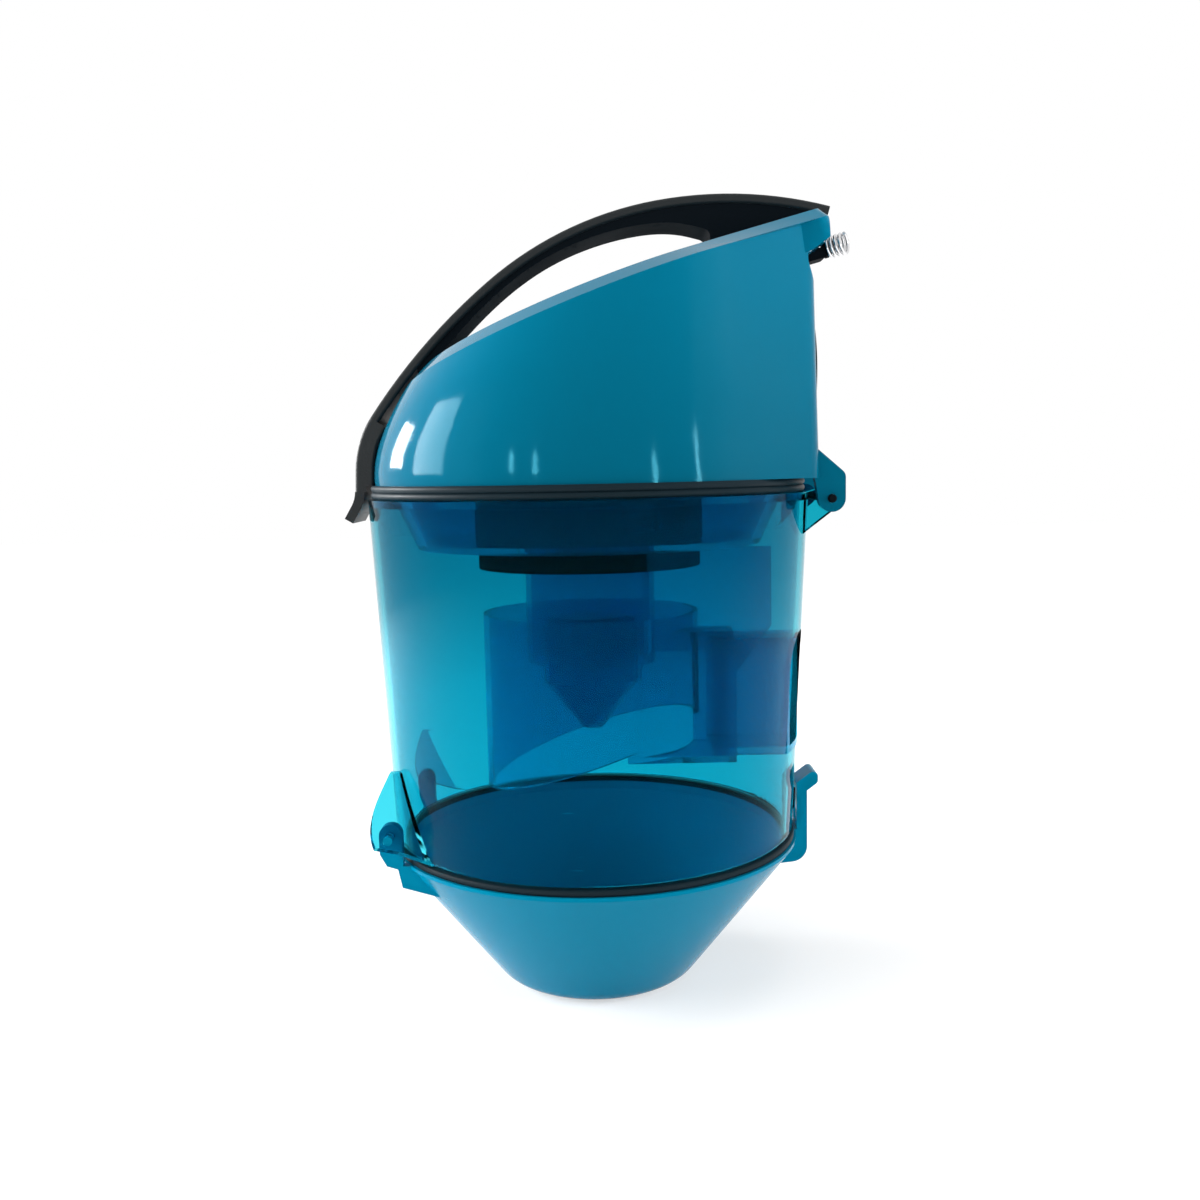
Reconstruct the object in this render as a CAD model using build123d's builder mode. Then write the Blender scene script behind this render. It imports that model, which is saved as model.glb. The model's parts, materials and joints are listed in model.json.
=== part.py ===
from build123d import *
import os
from math import cos, radians, sin, sqrt, tan

# Cyclone dust bin of a vacuum cleaner, in millimetres.
# +Z is up, the origin is the centre of the foot, +X points to the machine behind the bin
# and -X to the thumb lip of the handle.

# Clearances
SEAT_GAP = 0.1       # a piece in its seat on the same body
RUN_GAP = 0.5        # faces that pass each other when a joint turns
PIN_GAP = 0.05       # radial clearance of a hinge pin in its bores
SEAL_GAP = 0.3       # the hood's seal and the cup's rim
LID_SEAL_GAP = 0.7   # the lid's gasket and the cup's lower edge, enough for it to swing away
RIM_GAP = 0.4        # the thumb lip and the cup's rim

# Bottom lid
FOOT_R = 34.5        # cone radius carried down to the floor
FOOT_ROUND = 12.0
LID_H = 53.9
LID_LIP = 1.4        # how far the lid's rim stands out past the cup's lower edge
LID_RIM_H = 1.2
LID_WALL = 2.4
LID_GASKET_H = 2.2
LID_GASKET_ROUND = 1.0
LID_GASKET_W = 4.1

# Dust cup
CUP_H = 124.2
CUP_LOW_R = 74.2
CUP_RIM_R = 80.2
CUP_WALL = 2.5
CUP_EDGE_ROUND = 1.2
RIM_REBATE = 1.3     # step in the rim that carries the filter tray
RIM_REBATE_H = 2.5

# Lid hinge, one ear each side
LID_HINGE_INSET = 3.2
LID_HINGE_RISE = 8.0
LID_EAR_Y = 38.0
LID_EAR_T = 4.0
EAR_CHIN_H = 6.5     # ear's front edge under its pin
EAR_LINE = [(-1.6, 10.8), (2.2, 12.0), (3.6, 18.6), (17.2, 22.6), (12.0, 16.8)]   # in and down from its pin
EAR_TOP_IN = 7.5
EAR_ROUND = 2.5
LID_KNUCKLE_R = 4.0
CHEEK_T = 3.0
CHEEK_H = 21.2
CHEEK_TOP_OUT = 0.3
CHEEK_BELLY = [(4.2, 0.6), (6.2, 0.18)]   # out from the pin, at shares of the cheek's height
CHEEK_CHIN_OUT = 4.6
CHEEK_CHIN_DROP = 1.2   # chin under the pin
CHEEK_HEEL_IN = 3.0
CHEEK_HEEL_DROP = 2.4   # heel under the pin
CHEEK_LEAN = 25.8    # cheeks lean out towards the cup's lower edge
LID_PIN_R = 1.6

# Lid clip
CLIP_GAP = 1.8       # arm to the cup's lower edge
CLIP_T = 3.9
CLIP_W = 12.0
CLIP_RISE = 14.8
CLIP_DROP = 12.0
CLIP_ROOT_IN = 10.5  # clip's root on the cone
CLIP_ROOT_DROP = 1.5
CLIP_LAP = 2.0       # clip's overlap on the rim
CLIP_ROUND = 6.0
TAB_ROUND = 1.8
TAB_OUT = 4.1
TAB_H = 9.0
TAB_T = 5.9
CLIP_WINDOW_W = 5.0
CLIP_WINDOW_H = 10.0
LUG_OUT = 0.6
LUG_H = 13.0
LUG_RISE = 1.5       # lug over the cup's lower edge

# Hood
HOOD_INSET = 2.8     # hood's lower edge inside the cup's rim
HOOD_EDGE_H = 57.7   # height of the roof's edge over the hood's lower edge, on the axis
HOOD_TILT = 20.2     # slope of the roof, rising to the rear
HOOD_WALL = 2.5
HOOD_REAR_INSET = 0.8
HOOD_REAR_HALF = 42.0
HOOD_CORNER_R = 9.0
HOOD_MID_LEAN = 1.6
HOOD_TOP_LEAN = 5.4
HOOD_NOSE_MID = 2.1  # how far the nose has drawn back half way up
HOOD_NOSE_TOP = 12.4
ROOF_BEVEL_IN = 8.0
ROOF_BEVEL_REAR = 1.5
ROOF_BEVEL_H = 4.0
BROW_HALF = 29.0
BROW_OUT = 4.9       # how far the roof's rear brow stands out over the rear wall
BROW_SKIRT = 9.0
BROW_FACE_H = 7.4    # upright rear face of the brow
BROW_CORNER_R = 5.0
HOOD_SEAL_H = 4.7
HOOD_SEAL_ROUND = 1.4
HOOD_SEAL_W = 7.0
HOOD_SEAL_INSET = 1.2   # seal's edge inside the cup's rim

# Hood hinge
HOOD_HINGE_OUT = 4.8
HOOD_HINGE_DROP = 2.2
HOOD_EAR_Y = 30.0
HOOD_EAR_T = 4.0
HOOD_EAR_H = 18.0
HOOD_EAR_RISE = 0.5
HOOD_EAR_ROOT = 0.6   # share of the ear's height that its root takes
HOOD_KNUCKLE_R = 4.7
HOOD_SHOULDER_R = 3.0
CUP_LUG_T = 5.0
CUP_LUG_H = 14.5
CUP_LUG_DROP = 0.5   # lug's root under the cup's upper edge
HOOD_PIN_R = 1.5
HOOD_PIN_BEVEL = 0.4
HOOD_PIN_PROUD = 1.0

# Release catch under the brow
NOTCH_DEPTH = 2.7    # notch along the rear wall under the brow
NOTCH_FALL = 5.4     # from the brow's face down to the notch's root
NOTCH_ROOT_H = 2.5
NOTCH_RUN_OUT = 7.5
POCKET_DROP = 18.4   # pocket's floor under the brow's upper edge
POCKET_H = 14.1
POCKET_HALF = 12.0
POCKET_DEPTH = 9.9
CATCH_RISE = 7.95    # catch's pivot over the pocket's floor
CATCH_HALF = 5.0
CATCH_HUB_R = 3.4
CATCH_PIN_R = 1.5
CATCH_TOE = 2.6      # lever's end past the brow
CATCH_SEAT_R = 3.4
CATCH_SEAT_T = 1.0
CATCH_PEG_R = 2.5
CATCH_PEG_L = 2.5
SPRING_R = 3.5       # to the middle of the wire
SPRING_WIRE_R = 0.6
SPRING_TURNS = 3.2
SPRING_PITCH = 2.0
SPRING_AXIS = (0.849, -0.5, 0.17)

# Air outlet in the hood's rear wall
OUTLET_R = 22.0
OUTLET_RISE = 37.0
OUTLET_GASKET_W = 4.5
OUTLET_GASKET_T = 0.8   # how far the gasket stands out of its recess
OUTLET_GASKET_ROUND = 0.6
OUTLET_RECESS = 1.2
GRILLE_T = 2.0
GRILLE_BAR = 2.0
GRILLE_SLOT = 3.6
GRILLE_RIM = 2.5

# Handle
HANDLE_HALF = 12.0
HANDLE_FOOT_OUT = 3.7   # outer face of the leg past the cup's rim
HANDLE_FOOT_DROP = 2.1
LEG_ANGLE = 87.7
LEG_L = 7.9
ARCH_SPAN = 164.5       # from the front rim to the brow, for the arch's radii below
ARCH_RADII = (35.3, 224.0, 127.0, 147.4)
ARCH_TURNS = (32.3, 16.4, 30.0, 24.0)
LIP_TURN = 28.0
LIP_R = 11.0
LIP_L = 5.2
GRIP_T = 3.4
LEG_T = 6.9
GRIP_ROUND = 1.2
FRAME_HALF = 11.0
FRAME_FRONT = 20.2   # frame's front end behind the cup's front rim
HEEL_FRONT = 125.4   # heel's front behind the cup's front rim
HEEL_LEAN = 1.5
HEEL_H = 16.2
HEEL_INSET = 3.3     # heel's end inside the brow
HEEL_END_H = 14.2
GAP_ROUND = 3.0      # upper rear corner of the finger gap
# Upper line of the finger gap: behind the cup's front rim, and over the roof's edge on the axis
GAP_LINE = (
    (23.2, -17.7),
    (37.2, -2.2),
    (52.5, 11.7),
    (67.7, 21.6),
    (82.7, 27.9),
    (97.6, 31.6),
    (110.2, 32.6),
    (119.8, 31.2),
)
SCREW_R = 1.5
SCREW_HEAD_R = 3.2
SCREW_HEAD_T = 1.8
SCREW_L = 12.0
SCREW_BACK = (6.8, 16.3)   # behind the heel's front

# Filter stack in the cup
TRAY_DROP = 15.5     # tray's floor under the cup's rim
TRAY_T = 2.5
TRAY_TOP_R = 70.0
TRAY_FLOOR_R = 63.0
TUBE_R = 24.0
TUBE_WALL = 2.0
TUBE_DROP = 45.5
TUBE_FLANGE_R = 28.0
TUBE_FLANGE_T = 1.8
COLLAR_R = 41.0
COLLAR_H = 8.0
DRUM_R = 42.0
DRUM_WALL = 4.0
DRUM_H = 11.5
DRUM_SLOT_W = 14.0
DRUM_SLOT_ANGLE = -64.7
FOAM_H = 8.2
FOAM_ROUND = 1.5
BELL_R = 18.0
BELL_WALL = 2.0
BELL_ROUND = 5.0
BELL_BODY_H = 24.0
BELL_TIP_H = 18.0
BELL_TIP_R = 4.0
BELL_DROP = 27.0     # bell's crown under the tray's floor
BELL_FIN_T = 2.0
BELL_FIN_H = 10.0

# Cyclone chamber and inlet
SLEEVE_R = 40.0
SLEEVE_WALL = 2.0
SLEEVE_DROP = 25.0   # sleeve's upper edge under the tray's floor
SLEEVE_SLOPE = 18.0
SLEEVE_LOW = 30.0    # sleeve's lower edge over the cup's lower edge, on the axis
PORT_W = 26.0
PORT_H = 42.0
PORT_Y = -21.0
PORT_RISE = 33.0     # port's sill over the cup's lower edge
PORT_ROUND = 12.0
BOOT_WALL = 2.5
BOOT_PROUD = 0.4
BOOT_X = 42.0
SOCKET_WALL = 2.0
SOCKET_X = 50.0
PANEL_X = 18.0
PANEL_END_X = 62.0

# Levels and places worked out from the sizes above
LID_RIM_R = CUP_LOW_R + LID_LIP
CUP_LOW_Z = LID_H + LID_GASKET_H + LID_SEAL_GAP
CUP_TOP_Z = CUP_LOW_Z + CUP_H
HOOD_LOW_Z = CUP_TOP_Z + SEAL_GAP + HOOD_SEAL_H
HOOD_EDGE_Z = HOOD_LOW_Z + HOOD_EDGE_H
HOOD_FRONT_R = CUP_RIM_R - HOOD_INSET
HOOD_SEAL_R = CUP_RIM_R - HOOD_SEAL_INSET
HOOD_MOUTH_R = HOOD_SEAL_R - HOOD_SEAL_W
HOOD_REAR_X = CUP_RIM_R - HOOD_REAR_INSET
LID_HINGE_X = -(CUP_LOW_R - LID_HINGE_INSET)
LID_HINGE_Z = CUP_LOW_Z + LID_HINGE_RISE
CHEEK_TAN = tan(radians(CHEEK_LEAN))
CHEEK_HALF = CHEEK_T / 2 / cos(radians(CHEEK_LEAN))
CHEEK_Y = LID_EAR_Y + LID_EAR_T / 2 + RUN_GAP + CHEEK_HALF
HOOD_HINGE_X = HOOD_REAR_X + HOOD_HINGE_OUT
HOOD_HINGE_Z = CUP_TOP_Z - HOOD_HINGE_DROP
CUP_LUG_Y = HOOD_EAR_Y - HOOD_EAR_T / 2 - RUN_GAP - CUP_LUG_T / 2
TRAY_Z = CUP_TOP_Z - TRAY_DROP
PORT_Z = CUP_LOW_Z + PORT_RISE
SLOPE = tan(radians(HOOD_TILT))
BROW_X = HOOD_REAR_X + BROW_OUT
BROW_EDGE_Z = HOOD_EDGE_Z + SLOPE * BROW_X
ARCH_FIT = (CUP_RIM_R + BROW_X) / ARCH_SPAN
FRAME_FRONT_X = FRAME_FRONT * ARCH_FIT - CUP_RIM_R
HEEL_X = HEEL_FRONT * ARCH_FIT - CUP_RIM_R
HEEL_END_X = BROW_X - HEEL_INSET
SCREW_X = [HEEL_X + back for back in SCREW_BACK]
NOTCH_X = HOOD_REAR_X - NOTCH_DEPTH
POCKET_X = HOOD_REAR_X - POCKET_DEPTH
POCKET_Z = BROW_EDGE_Z - POCKET_DROP
CATCH_X = POCKET_X + CATCH_HUB_R + RUN_GAP
CATCH_Z = POCKET_Z + CATCH_RISE


def cup_r(z):
    """Outer radius of the tapered cup at a height."""
    return CUP_LOW_R + (CUP_RIM_R - CUP_LOW_R) * (z - CUP_LOW_Z) / CUP_H


def wall_x(z, y):
    """X of the middle of the cup's wall at a height and a distance from the mid plane."""
    return sqrt((cup_r(z) - CUP_WALL / 2) ** 2 - y**2)


def cheek_y(z):
    """Distance of the middle of a leaning cheek from the mid plane, at a height."""
    return CHEEK_Y + (LID_HINGE_Z + LID_KNUCKLE_R - z) * CHEEK_TAN


def side_plane(y):
    """Vertical plane across the Y axis, with X to the right and Z up."""
    return Plane.XZ.offset(-y)


def ring(outer, inner, low, high):
    """Flat ring about the Z axis."""
    with BuildPart() as made:
        with BuildSketch(Plane.XY.offset(low)):
            Circle(outer)
            Circle(inner, mode=Mode.SUBTRACT)
        extrude(amount=high - low)
    return made.part


def hull_outline(plane, front_x, radius, rear_x, half, corner):
    """Plan of the hood on a plane: a round front drawn into a flat rear with rounded corners."""
    with BuildSketch(plane) as made:
        with Locations((front_x + radius, 0)):
            Circle(radius)
        with Locations((rear_x - corner, half - corner), (rear_x - corner, corner - half)):
            Circle(corner)
        make_hull()
    return made.sketch


def roof_plane(tilt, lift):
    """Plane across the hood, tilted about Y and lifted along the axis."""
    slope = radians(tilt)
    return Plane((0, 0, lift), x_dir=(cos(slope), 0, sin(slope)), z_dir=(-sin(slope), 0, cos(slope)))


def hood_body(inset):
    """Walls of the hood, lofted from its lower edge to the edge of the roof, drawn in by an inset."""
    fan = HOOD_EDGE_H / SLOPE
    mid_tilt = HOOD_TILT / 2
    mid_z = HOOD_LOW_Z + fan * tan(radians(mid_tilt))
    levels = (
        (0, HOOD_LOW_Z + inset, 0, 0, HOOD_REAR_HALF),
        (mid_tilt, mid_z, HOOD_NOSE_MID, HOOD_MID_LEAN, (HOOD_REAR_HALF + BROW_HALF) / 2),
        (HOOD_TILT, HOOD_EDGE_Z - inset / 2, HOOD_NOSE_TOP, HOOD_TOP_LEAN, BROW_HALF),
    )
    outlines = []
    for tilt, lift, nose, lean, half in levels:
        stretch = 1 / cos(radians(tilt))
        outline = hull_outline(
            roof_plane(tilt, lift),
            (nose + inset - HOOD_FRONT_R) * stretch,
            HOOD_FRONT_R - lean - inset,
            (HOOD_REAR_X - inset) * stretch,
            half - inset,
            HOOD_CORNER_R - inset,
        )
        outlines.append(outline)
    with BuildPart() as made:
        loft(outlines)
    return made.part


def roof_outline(lift, draw_in, rear_in):
    """Outline of the roof or of its raised panel, on a plane along the slope."""
    stretch = 1 / cos(radians(HOOD_TILT))
    return hull_outline(
        roof_plane(HOOD_TILT, HOOD_EDGE_Z).offset(lift),
        (HOOD_NOSE_TOP - HOOD_FRONT_R) * stretch + draw_in,
        HOOD_FRONT_R - HOOD_TOP_LEAN - draw_in,
        BROW_X * stretch - rear_in,
        BROW_HALF - draw_in / 2,
        BROW_CORNER_R,
    )


def hood_outside(grow):
    """Hood without its hollow: walls, bevelled roof and brow, grown by a gap."""
    with BuildPart() as made:
        add(hood_body(-grow))
        roof_edge = roof_outline(0, -grow, -grow)
        roof_panel = roof_outline(ROOF_BEVEL_H + grow, ROOF_BEVEL_IN - grow, ROOF_BEVEL_REAR - grow)
        loft((roof_edge, roof_panel))
        with BuildSketch(roof_plane(HOOD_TILT, HOOD_EDGE_Z)):
            with Locations(((BROW_X + grow) / cos(radians(HOOD_TILT)), 0)):
                RectangleRounded(
                    4 * BROW_CORNER_R, 2 * (BROW_HALF + grow), BROW_CORNER_R, align=(Align.MAX, Align.CENTER)
                )
        extrude(amount=-BROW_SKIRT)
        with Locations((BROW_X + grow, 0, HOOD_LOW_Z)):
            Box(
                CUP_RIM_R,
                4 * HOOD_REAR_HALF,
                4 * CUP_RIM_R,
                align=(Align.MIN, Align.CENTER, Align.CENTER),
                mode=Mode.SUBTRACT,
            )
    return made.part


# Bottom lid: a cone on a small round foot, with two hinge ears and a springy clip
LID_SLOPE = (LID_RIM_R - FOOT_R) / (LID_H - LID_RIM_H)
LID_SKIN = LID_WALL * sqrt(1 + LID_SLOPE**2)
GASKET_OUT_R = CUP_LOW_R + LID_LIP / 2
GASKET_IN_R = GASKET_OUT_R - LID_GASKET_W
FOOT_IN_R = FOOT_R - LID_SKIN + LID_SLOPE * LID_WALL
RIM_LOW_Z = (GASKET_IN_R - FOOT_R + LID_SKIN) / LID_SLOPE

with BuildPart() as cone_lid:
    with BuildSketch(Plane.XZ) as lid_section:
        with BuildLine():
            Polyline(
                (0, 0),
                (FOOT_R, 0),
                (LID_RIM_R, LID_H - LID_RIM_H),
                (LID_RIM_R, LID_H),
                (GASKET_IN_R, LID_H),
                (GASKET_IN_R, RIM_LOW_Z),
                (FOOT_IN_R, LID_WALL),
                (0, LID_WALL),
                close=True,
            )
        make_face()
        fillet(lid_section.vertices().filter_by_position(Axis.X, FOOT_R - 0.01, FOOT_R + 0.01), FOOT_ROUND)
        fillet(
            lid_section.vertices().filter_by_position(Axis.X, FOOT_IN_R - 0.01, FOOT_IN_R + 0.01),
            FOOT_ROUND - LID_WALL,
        )
    revolve(axis=Axis.Z)
    for ear_y in (-LID_EAR_Y, LID_EAR_Y):
        with BuildSketch(side_plane(ear_y)) as ear:
            with BuildLine():
                Polyline(
                    (LID_HINGE_X - LID_KNUCKLE_R, LID_HINGE_Z),
                    (LID_HINGE_X - LID_KNUCKLE_R, LID_HINGE_Z - EAR_CHIN_H),
                    *[(LID_HINGE_X + inward, LID_HINGE_Z - drop) for inward, drop in EAR_LINE],
                    (LID_HINGE_X + EAR_TOP_IN, LID_H),
                    (LID_HINGE_X + LID_KNUCKLE_R, LID_H),
                    (LID_HINGE_X + LID_KNUCKLE_R, LID_HINGE_Z),
                    close=True,
                )
            make_face()
            fillet(ear.vertices().group_by(Axis.X)[0].sort_by(Axis.Y)[0], EAR_ROUND)
            with Locations((LID_HINGE_X, LID_HINGE_Z)):
                Circle(LID_KNUCKLE_R)
                Circle(LID_PIN_R + PIN_GAP, mode=Mode.SUBTRACT)
        extrude(amount=LID_EAR_T / 2, both=True)
    CLIP_IN_X = CUP_LOW_R + CLIP_GAP
    CLIP_OUT_X = CLIP_IN_X + CLIP_T
    CLIP_TOP_Z = LID_H + CLIP_RISE
    with BuildSketch(Plane.XZ) as clip:
        with BuildLine():
            Polyline(
                (CLIP_IN_X - CLIP_ROOT_IN, LID_H - CLIP_DROP - CLIP_ROOT_DROP),
                (CLIP_OUT_X, LID_H - CLIP_DROP),
                (CLIP_OUT_X, CLIP_TOP_Z),
                (CLIP_OUT_X + TAB_OUT, CLIP_TOP_Z + TAB_H - TAB_T),
                (CLIP_OUT_X + TAB_OUT, CLIP_TOP_Z + TAB_H),
                (CLIP_IN_X, CLIP_TOP_Z + TAB_H - TAB_T),
                (CLIP_IN_X, LID_H),
                (GASKET_OUT_R - CLIP_LAP, LID_H),
                (GASKET_OUT_R - CLIP_LAP, LID_H - LID_RIM_H),
                close=True,
            )
        make_face()
        tab_end = clip.vertices().group_by(Axis.X)[-1]
        fillet(tab_end, TAB_ROUND)
        fillet(clip.vertices().group_by(Axis.Y)[1], CLIP_ROUND)
    extrude(amount=CLIP_W / 2, both=True)
    with Locations((CLIP_OUT_X - CLIP_T / 2, 0, LID_H + CLIP_RISE / 2)):
        Box(2 * CLIP_T, CLIP_WINDOW_W, CLIP_WINDOW_H, mode=Mode.SUBTRACT)
cone_lid.part.label = "cone_lid"

with BuildPart() as lid_gasket:
    add(ring(GASKET_OUT_R, GASKET_IN_R + SEAT_GAP, LID_H, LID_H + LID_GASKET_H))
    fillet(lid_gasket.edges().filter_by(GeomType.CIRCLE).group_by(Axis.Z)[-1], LID_GASKET_ROUND)
lid_gasket.part.label = "lid_gasket"


# Inlet section, shared by the port, the boot and the socket
def inlet_section(x, grow):
    """Arched inlet outline on a plane across X, grown by a wall or a gap."""
    with BuildSketch(Plane.YZ.offset(x)) as made:
        with Locations((PORT_Y, PORT_Z + PORT_H / 2)):
            Rectangle(PORT_W + 2 * grow, PORT_H + 2 * grow)
        fillet(made.vertices().group_by(Axis.Y)[-1], PORT_ROUND + grow)
    return made.sketch


def hinge_cheek(side):
    """Leaning cheek of the lid hinge, on one side of the mid plane."""
    top = LID_HINGE_Z + CHEEK_H
    mid = (top + CUP_LOW_Z) / 2
    with BuildPart() as made:
        with BuildSketch(Plane.XZ):
            with BuildLine():
                outer = Spline(
                    (LID_HINGE_X - CHEEK_TOP_OUT, top),
                    *[(LID_HINGE_X - out, LID_HINGE_Z + share * CHEEK_H) for out, share in CHEEK_BELLY],
                    (LID_HINGE_X - CHEEK_CHIN_OUT, LID_HINGE_Z - LID_PIN_R - CHEEK_CHIN_DROP),
                )
                Polyline(
                    outer @ 1,
                    (LID_HINGE_X + CHEEK_HEEL_IN, LID_HINGE_Z - LID_PIN_R - CHEEK_HEEL_DROP),
                    (-wall_x(CUP_LOW_Z, cheek_y(CUP_LOW_Z)), CUP_LOW_Z),
                    (-wall_x(mid, cheek_y(mid)), mid),
                    (-wall_x(top, cheek_y(top)), top),
                    outer @ 0,
                )
            make_face()
            with Locations((LID_HINGE_X, LID_HINGE_Z)):
                Circle(LID_PIN_R + PIN_GAP, mode=Mode.SUBTRACT)
        extrude(amount=-side * 2 * LID_EAR_Y)
        with BuildSketch(Plane.YZ.offset(-2 * CUP_LOW_R)):
            with BuildLine():
                low = CUP_LOW_Z - CHEEK_H
                high = top + CHEEK_H
                Polyline(
                    (side * (cheek_y(low) - CHEEK_HALF), low),
                    (side * (cheek_y(low) + CHEEK_HALF), low),
                    (side * (cheek_y(high) + CHEEK_HALF), high),
                    (side * (cheek_y(high) - CHEEK_HALF), high),
                    close=True,
                )
            make_face()
        extrude(amount=2 * CUP_LOW_R, mode=Mode.INTERSECT)
    return made.part


# Dust cup: the clear tapered wall with its hinge lugs, cheeks and clip lug
with BuildPart() as dust_cup:
    with BuildSketch(Plane.XZ) as cup_section:
        with BuildLine():
            Polyline(
                (CUP_LOW_R - CUP_WALL, CUP_LOW_Z),
                (CUP_LOW_R, CUP_LOW_Z),
                (CUP_RIM_R, CUP_TOP_Z),
                (CUP_RIM_R - CUP_WALL + RIM_REBATE, CUP_TOP_Z),
                (CUP_RIM_R - CUP_WALL + RIM_REBATE, CUP_TOP_Z - RIM_REBATE_H),
                (cup_r(CUP_TOP_Z - RIM_REBATE_H) - CUP_WALL, CUP_TOP_Z - RIM_REBATE_H),
                close=True,
            )
        make_face()
        low_edge = cup_section.vertices().group_by(Axis.Y)[0].sort_by(Axis.X)[-1]
        fillet(low_edge, CUP_EDGE_ROUND)
    revolve(axis=Axis.Z)
    for lug_y in (-CUP_LUG_Y, CUP_LUG_Y):
        with BuildSketch(side_plane(lug_y)):
            lug_x = wall_x(CUP_TOP_Z, lug_y)
            with BuildLine():
                Line((lug_x, CUP_TOP_Z - CUP_LUG_DROP), (lug_x, CUP_TOP_Z - CUP_LUG_H))
            with Locations((HOOD_HINGE_X, HOOD_HINGE_Z)):
                Circle(HOOD_KNUCKLE_R - RUN_GAP)
            make_hull()
            with Locations((HOOD_HINGE_X, HOOD_HINGE_Z)):
                Circle(HOOD_PIN_R + PIN_GAP, mode=Mode.SUBTRACT)
        extrude(amount=CUP_LUG_T / 2, both=True)
    with BuildSketch(Plane.XY.offset(CUP_TOP_Z - RIM_REBATE_H)):
        Circle(CUP_RIM_R - CUP_WALL + RIM_REBATE)
    extrude(amount=2 * RIM_REBATE_H, mode=Mode.SUBTRACT)
    for side in (-1, 1):
        add(hinge_cheek(side))
    with BuildSketch(Plane.XZ) as lug:
        lug_low = CUP_LOW_Z + LUG_RISE
        lug_top = lug_low + LUG_H
        with BuildLine():
            Polyline(
                (wall_x(lug_low, 0), lug_low),
                (cup_r(lug_low + LUG_H / 3) + LUG_OUT, lug_low + LUG_H / 3),
                (cup_r(lug_top - LUG_OUT) + LUG_OUT, lug_top - 2 * LUG_OUT),
                (wall_x(lug_top, 0), lug_top),
                close=True,
            )
        make_face()
    extrude(amount=CLIP_W / 2, both=True)
    extrude(inlet_section(CUP_LOW_R / 2, SEAT_GAP), amount=CUP_RIM_R, mode=Mode.SUBTRACT)
dust_cup.part.label = "dust_cup"

# Inlet boot: the rubber duct that lines the port and plugs into the chamber's socket
with BuildPart() as inlet_boot:
    extrude(inlet_section(BOOT_X, 0), amount=CUP_RIM_R - BOOT_X)
    extrude(inlet_section(BOOT_X, -BOOT_WALL), amount=CUP_RIM_R - BOOT_X, mode=Mode.SUBTRACT)
    with BuildSketch():
        Circle(cup_r(PORT_Z) + BOOT_PROUD)
    extrude(amount=CUP_TOP_Z, mode=Mode.INTERSECT)
inlet_boot.part.label = "inlet_boot"

# Cyclone chamber: slanted sleeve, inlet socket and the duct panel under the filter tray
TRAY_LOW_Z = TRAY_Z - TRAY_T
SLEEVE_TOP_Z = TRAY_LOW_Z - SLEEVE_DROP
SLANT = Plane(
    (0, 0, CUP_LOW_Z + SLEEVE_LOW),
    x_dir=(cos(radians(SLEEVE_SLOPE)), 0, sin(radians(SLEEVE_SLOPE))),
    z_dir=(-sin(radians(SLEEVE_SLOPE)), 0, cos(radians(SLEEVE_SLOPE))),
)
with BuildPart() as cyclone_chamber:
    with BuildSketch(Plane.XY.offset(CUP_LOW_Z)):
        Circle(SLEEVE_R)
    extrude(amount=SLEEVE_TOP_Z - CUP_LOW_Z)
    split(bisect_by=SLANT, keep=Keep.TOP)
    extrude(inlet_section(0, SOCKET_WALL), amount=SOCKET_X)
    with BuildSketch(side_plane(PORT_Y - PORT_W / 2 - SOCKET_WALL / 2)):
        with BuildLine():
            panel_low = PORT_Z + PORT_H
            Polyline(
                (PANEL_X, panel_low - PORT_ROUND),
                (SOCKET_X, panel_low - PORT_ROUND),
                (PANEL_END_X, panel_low + 2 * SOCKET_WALL),
                (PANEL_END_X, TRAY_LOW_Z),
                (PANEL_X, TRAY_LOW_Z),
                close=True,
            )
        make_face()
    extrude(amount=SOCKET_WALL / 2, both=True)
    with BuildSketch(Plane.XY.offset(CUP_LOW_Z)):
        Circle(SLEEVE_R - SLEEVE_WALL)
    extrude(amount=CUP_H, mode=Mode.SUBTRACT)
    extrude(inlet_section(0, SEAT_GAP), amount=CUP_RIM_R, mode=Mode.SUBTRACT)
    with BuildSketch(Plane.XY.offset(TRAY_LOW_Z - COLLAR_H - SEAT_GAP)):
        Circle(COLLAR_R + SEAT_GAP)
    extrude(amount=CUP_H, mode=Mode.SUBTRACT)
cyclone_chamber.part.label = "cyclone_chamber"

# Filter tray: a shallow dish hung in the rebate of the cup's rim
with BuildPart() as filter_tray:
    with BuildSketch(Plane.XZ):
        with BuildLine():
            flange_r = CUP_RIM_R - CUP_WALL + RIM_REBATE - SEAT_GAP
            Polyline(
                (TUBE_R + SEAT_GAP, TRAY_LOW_Z),
                (TRAY_FLOOR_R, TRAY_LOW_Z),
                (TRAY_TOP_R, CUP_TOP_Z - RIM_REBATE_H),
                (flange_r, CUP_TOP_Z - RIM_REBATE_H),
                (flange_r, CUP_TOP_Z),
                (TRAY_TOP_R - TRAY_T, CUP_TOP_Z),
                (TRAY_FLOOR_R - TRAY_T, TRAY_Z),
                (TUBE_R + SEAT_GAP, TRAY_Z),
                close=True,
            )
        make_face()
    revolve(axis=Axis.Z)
filter_tray.part.label = "filter_tray"

with BuildPart() as vortex_tube:
    add(ring(TUBE_R, TUBE_R - TUBE_WALL, TRAY_Z - TUBE_DROP, TRAY_Z + TUBE_FLANGE_T))
    add(ring(TUBE_FLANGE_R, TUBE_R - TUBE_WALL, TRAY_Z, TRAY_Z + TUBE_FLANGE_T))
vortex_tube.part.label = "vortex_tube"

with BuildPart() as filter_collar:
    add(ring(COLLAR_R, TUBE_R + SEAT_GAP, TRAY_LOW_Z - COLLAR_H, TRAY_LOW_Z))
filter_collar.part.label = "filter_collar"

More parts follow.
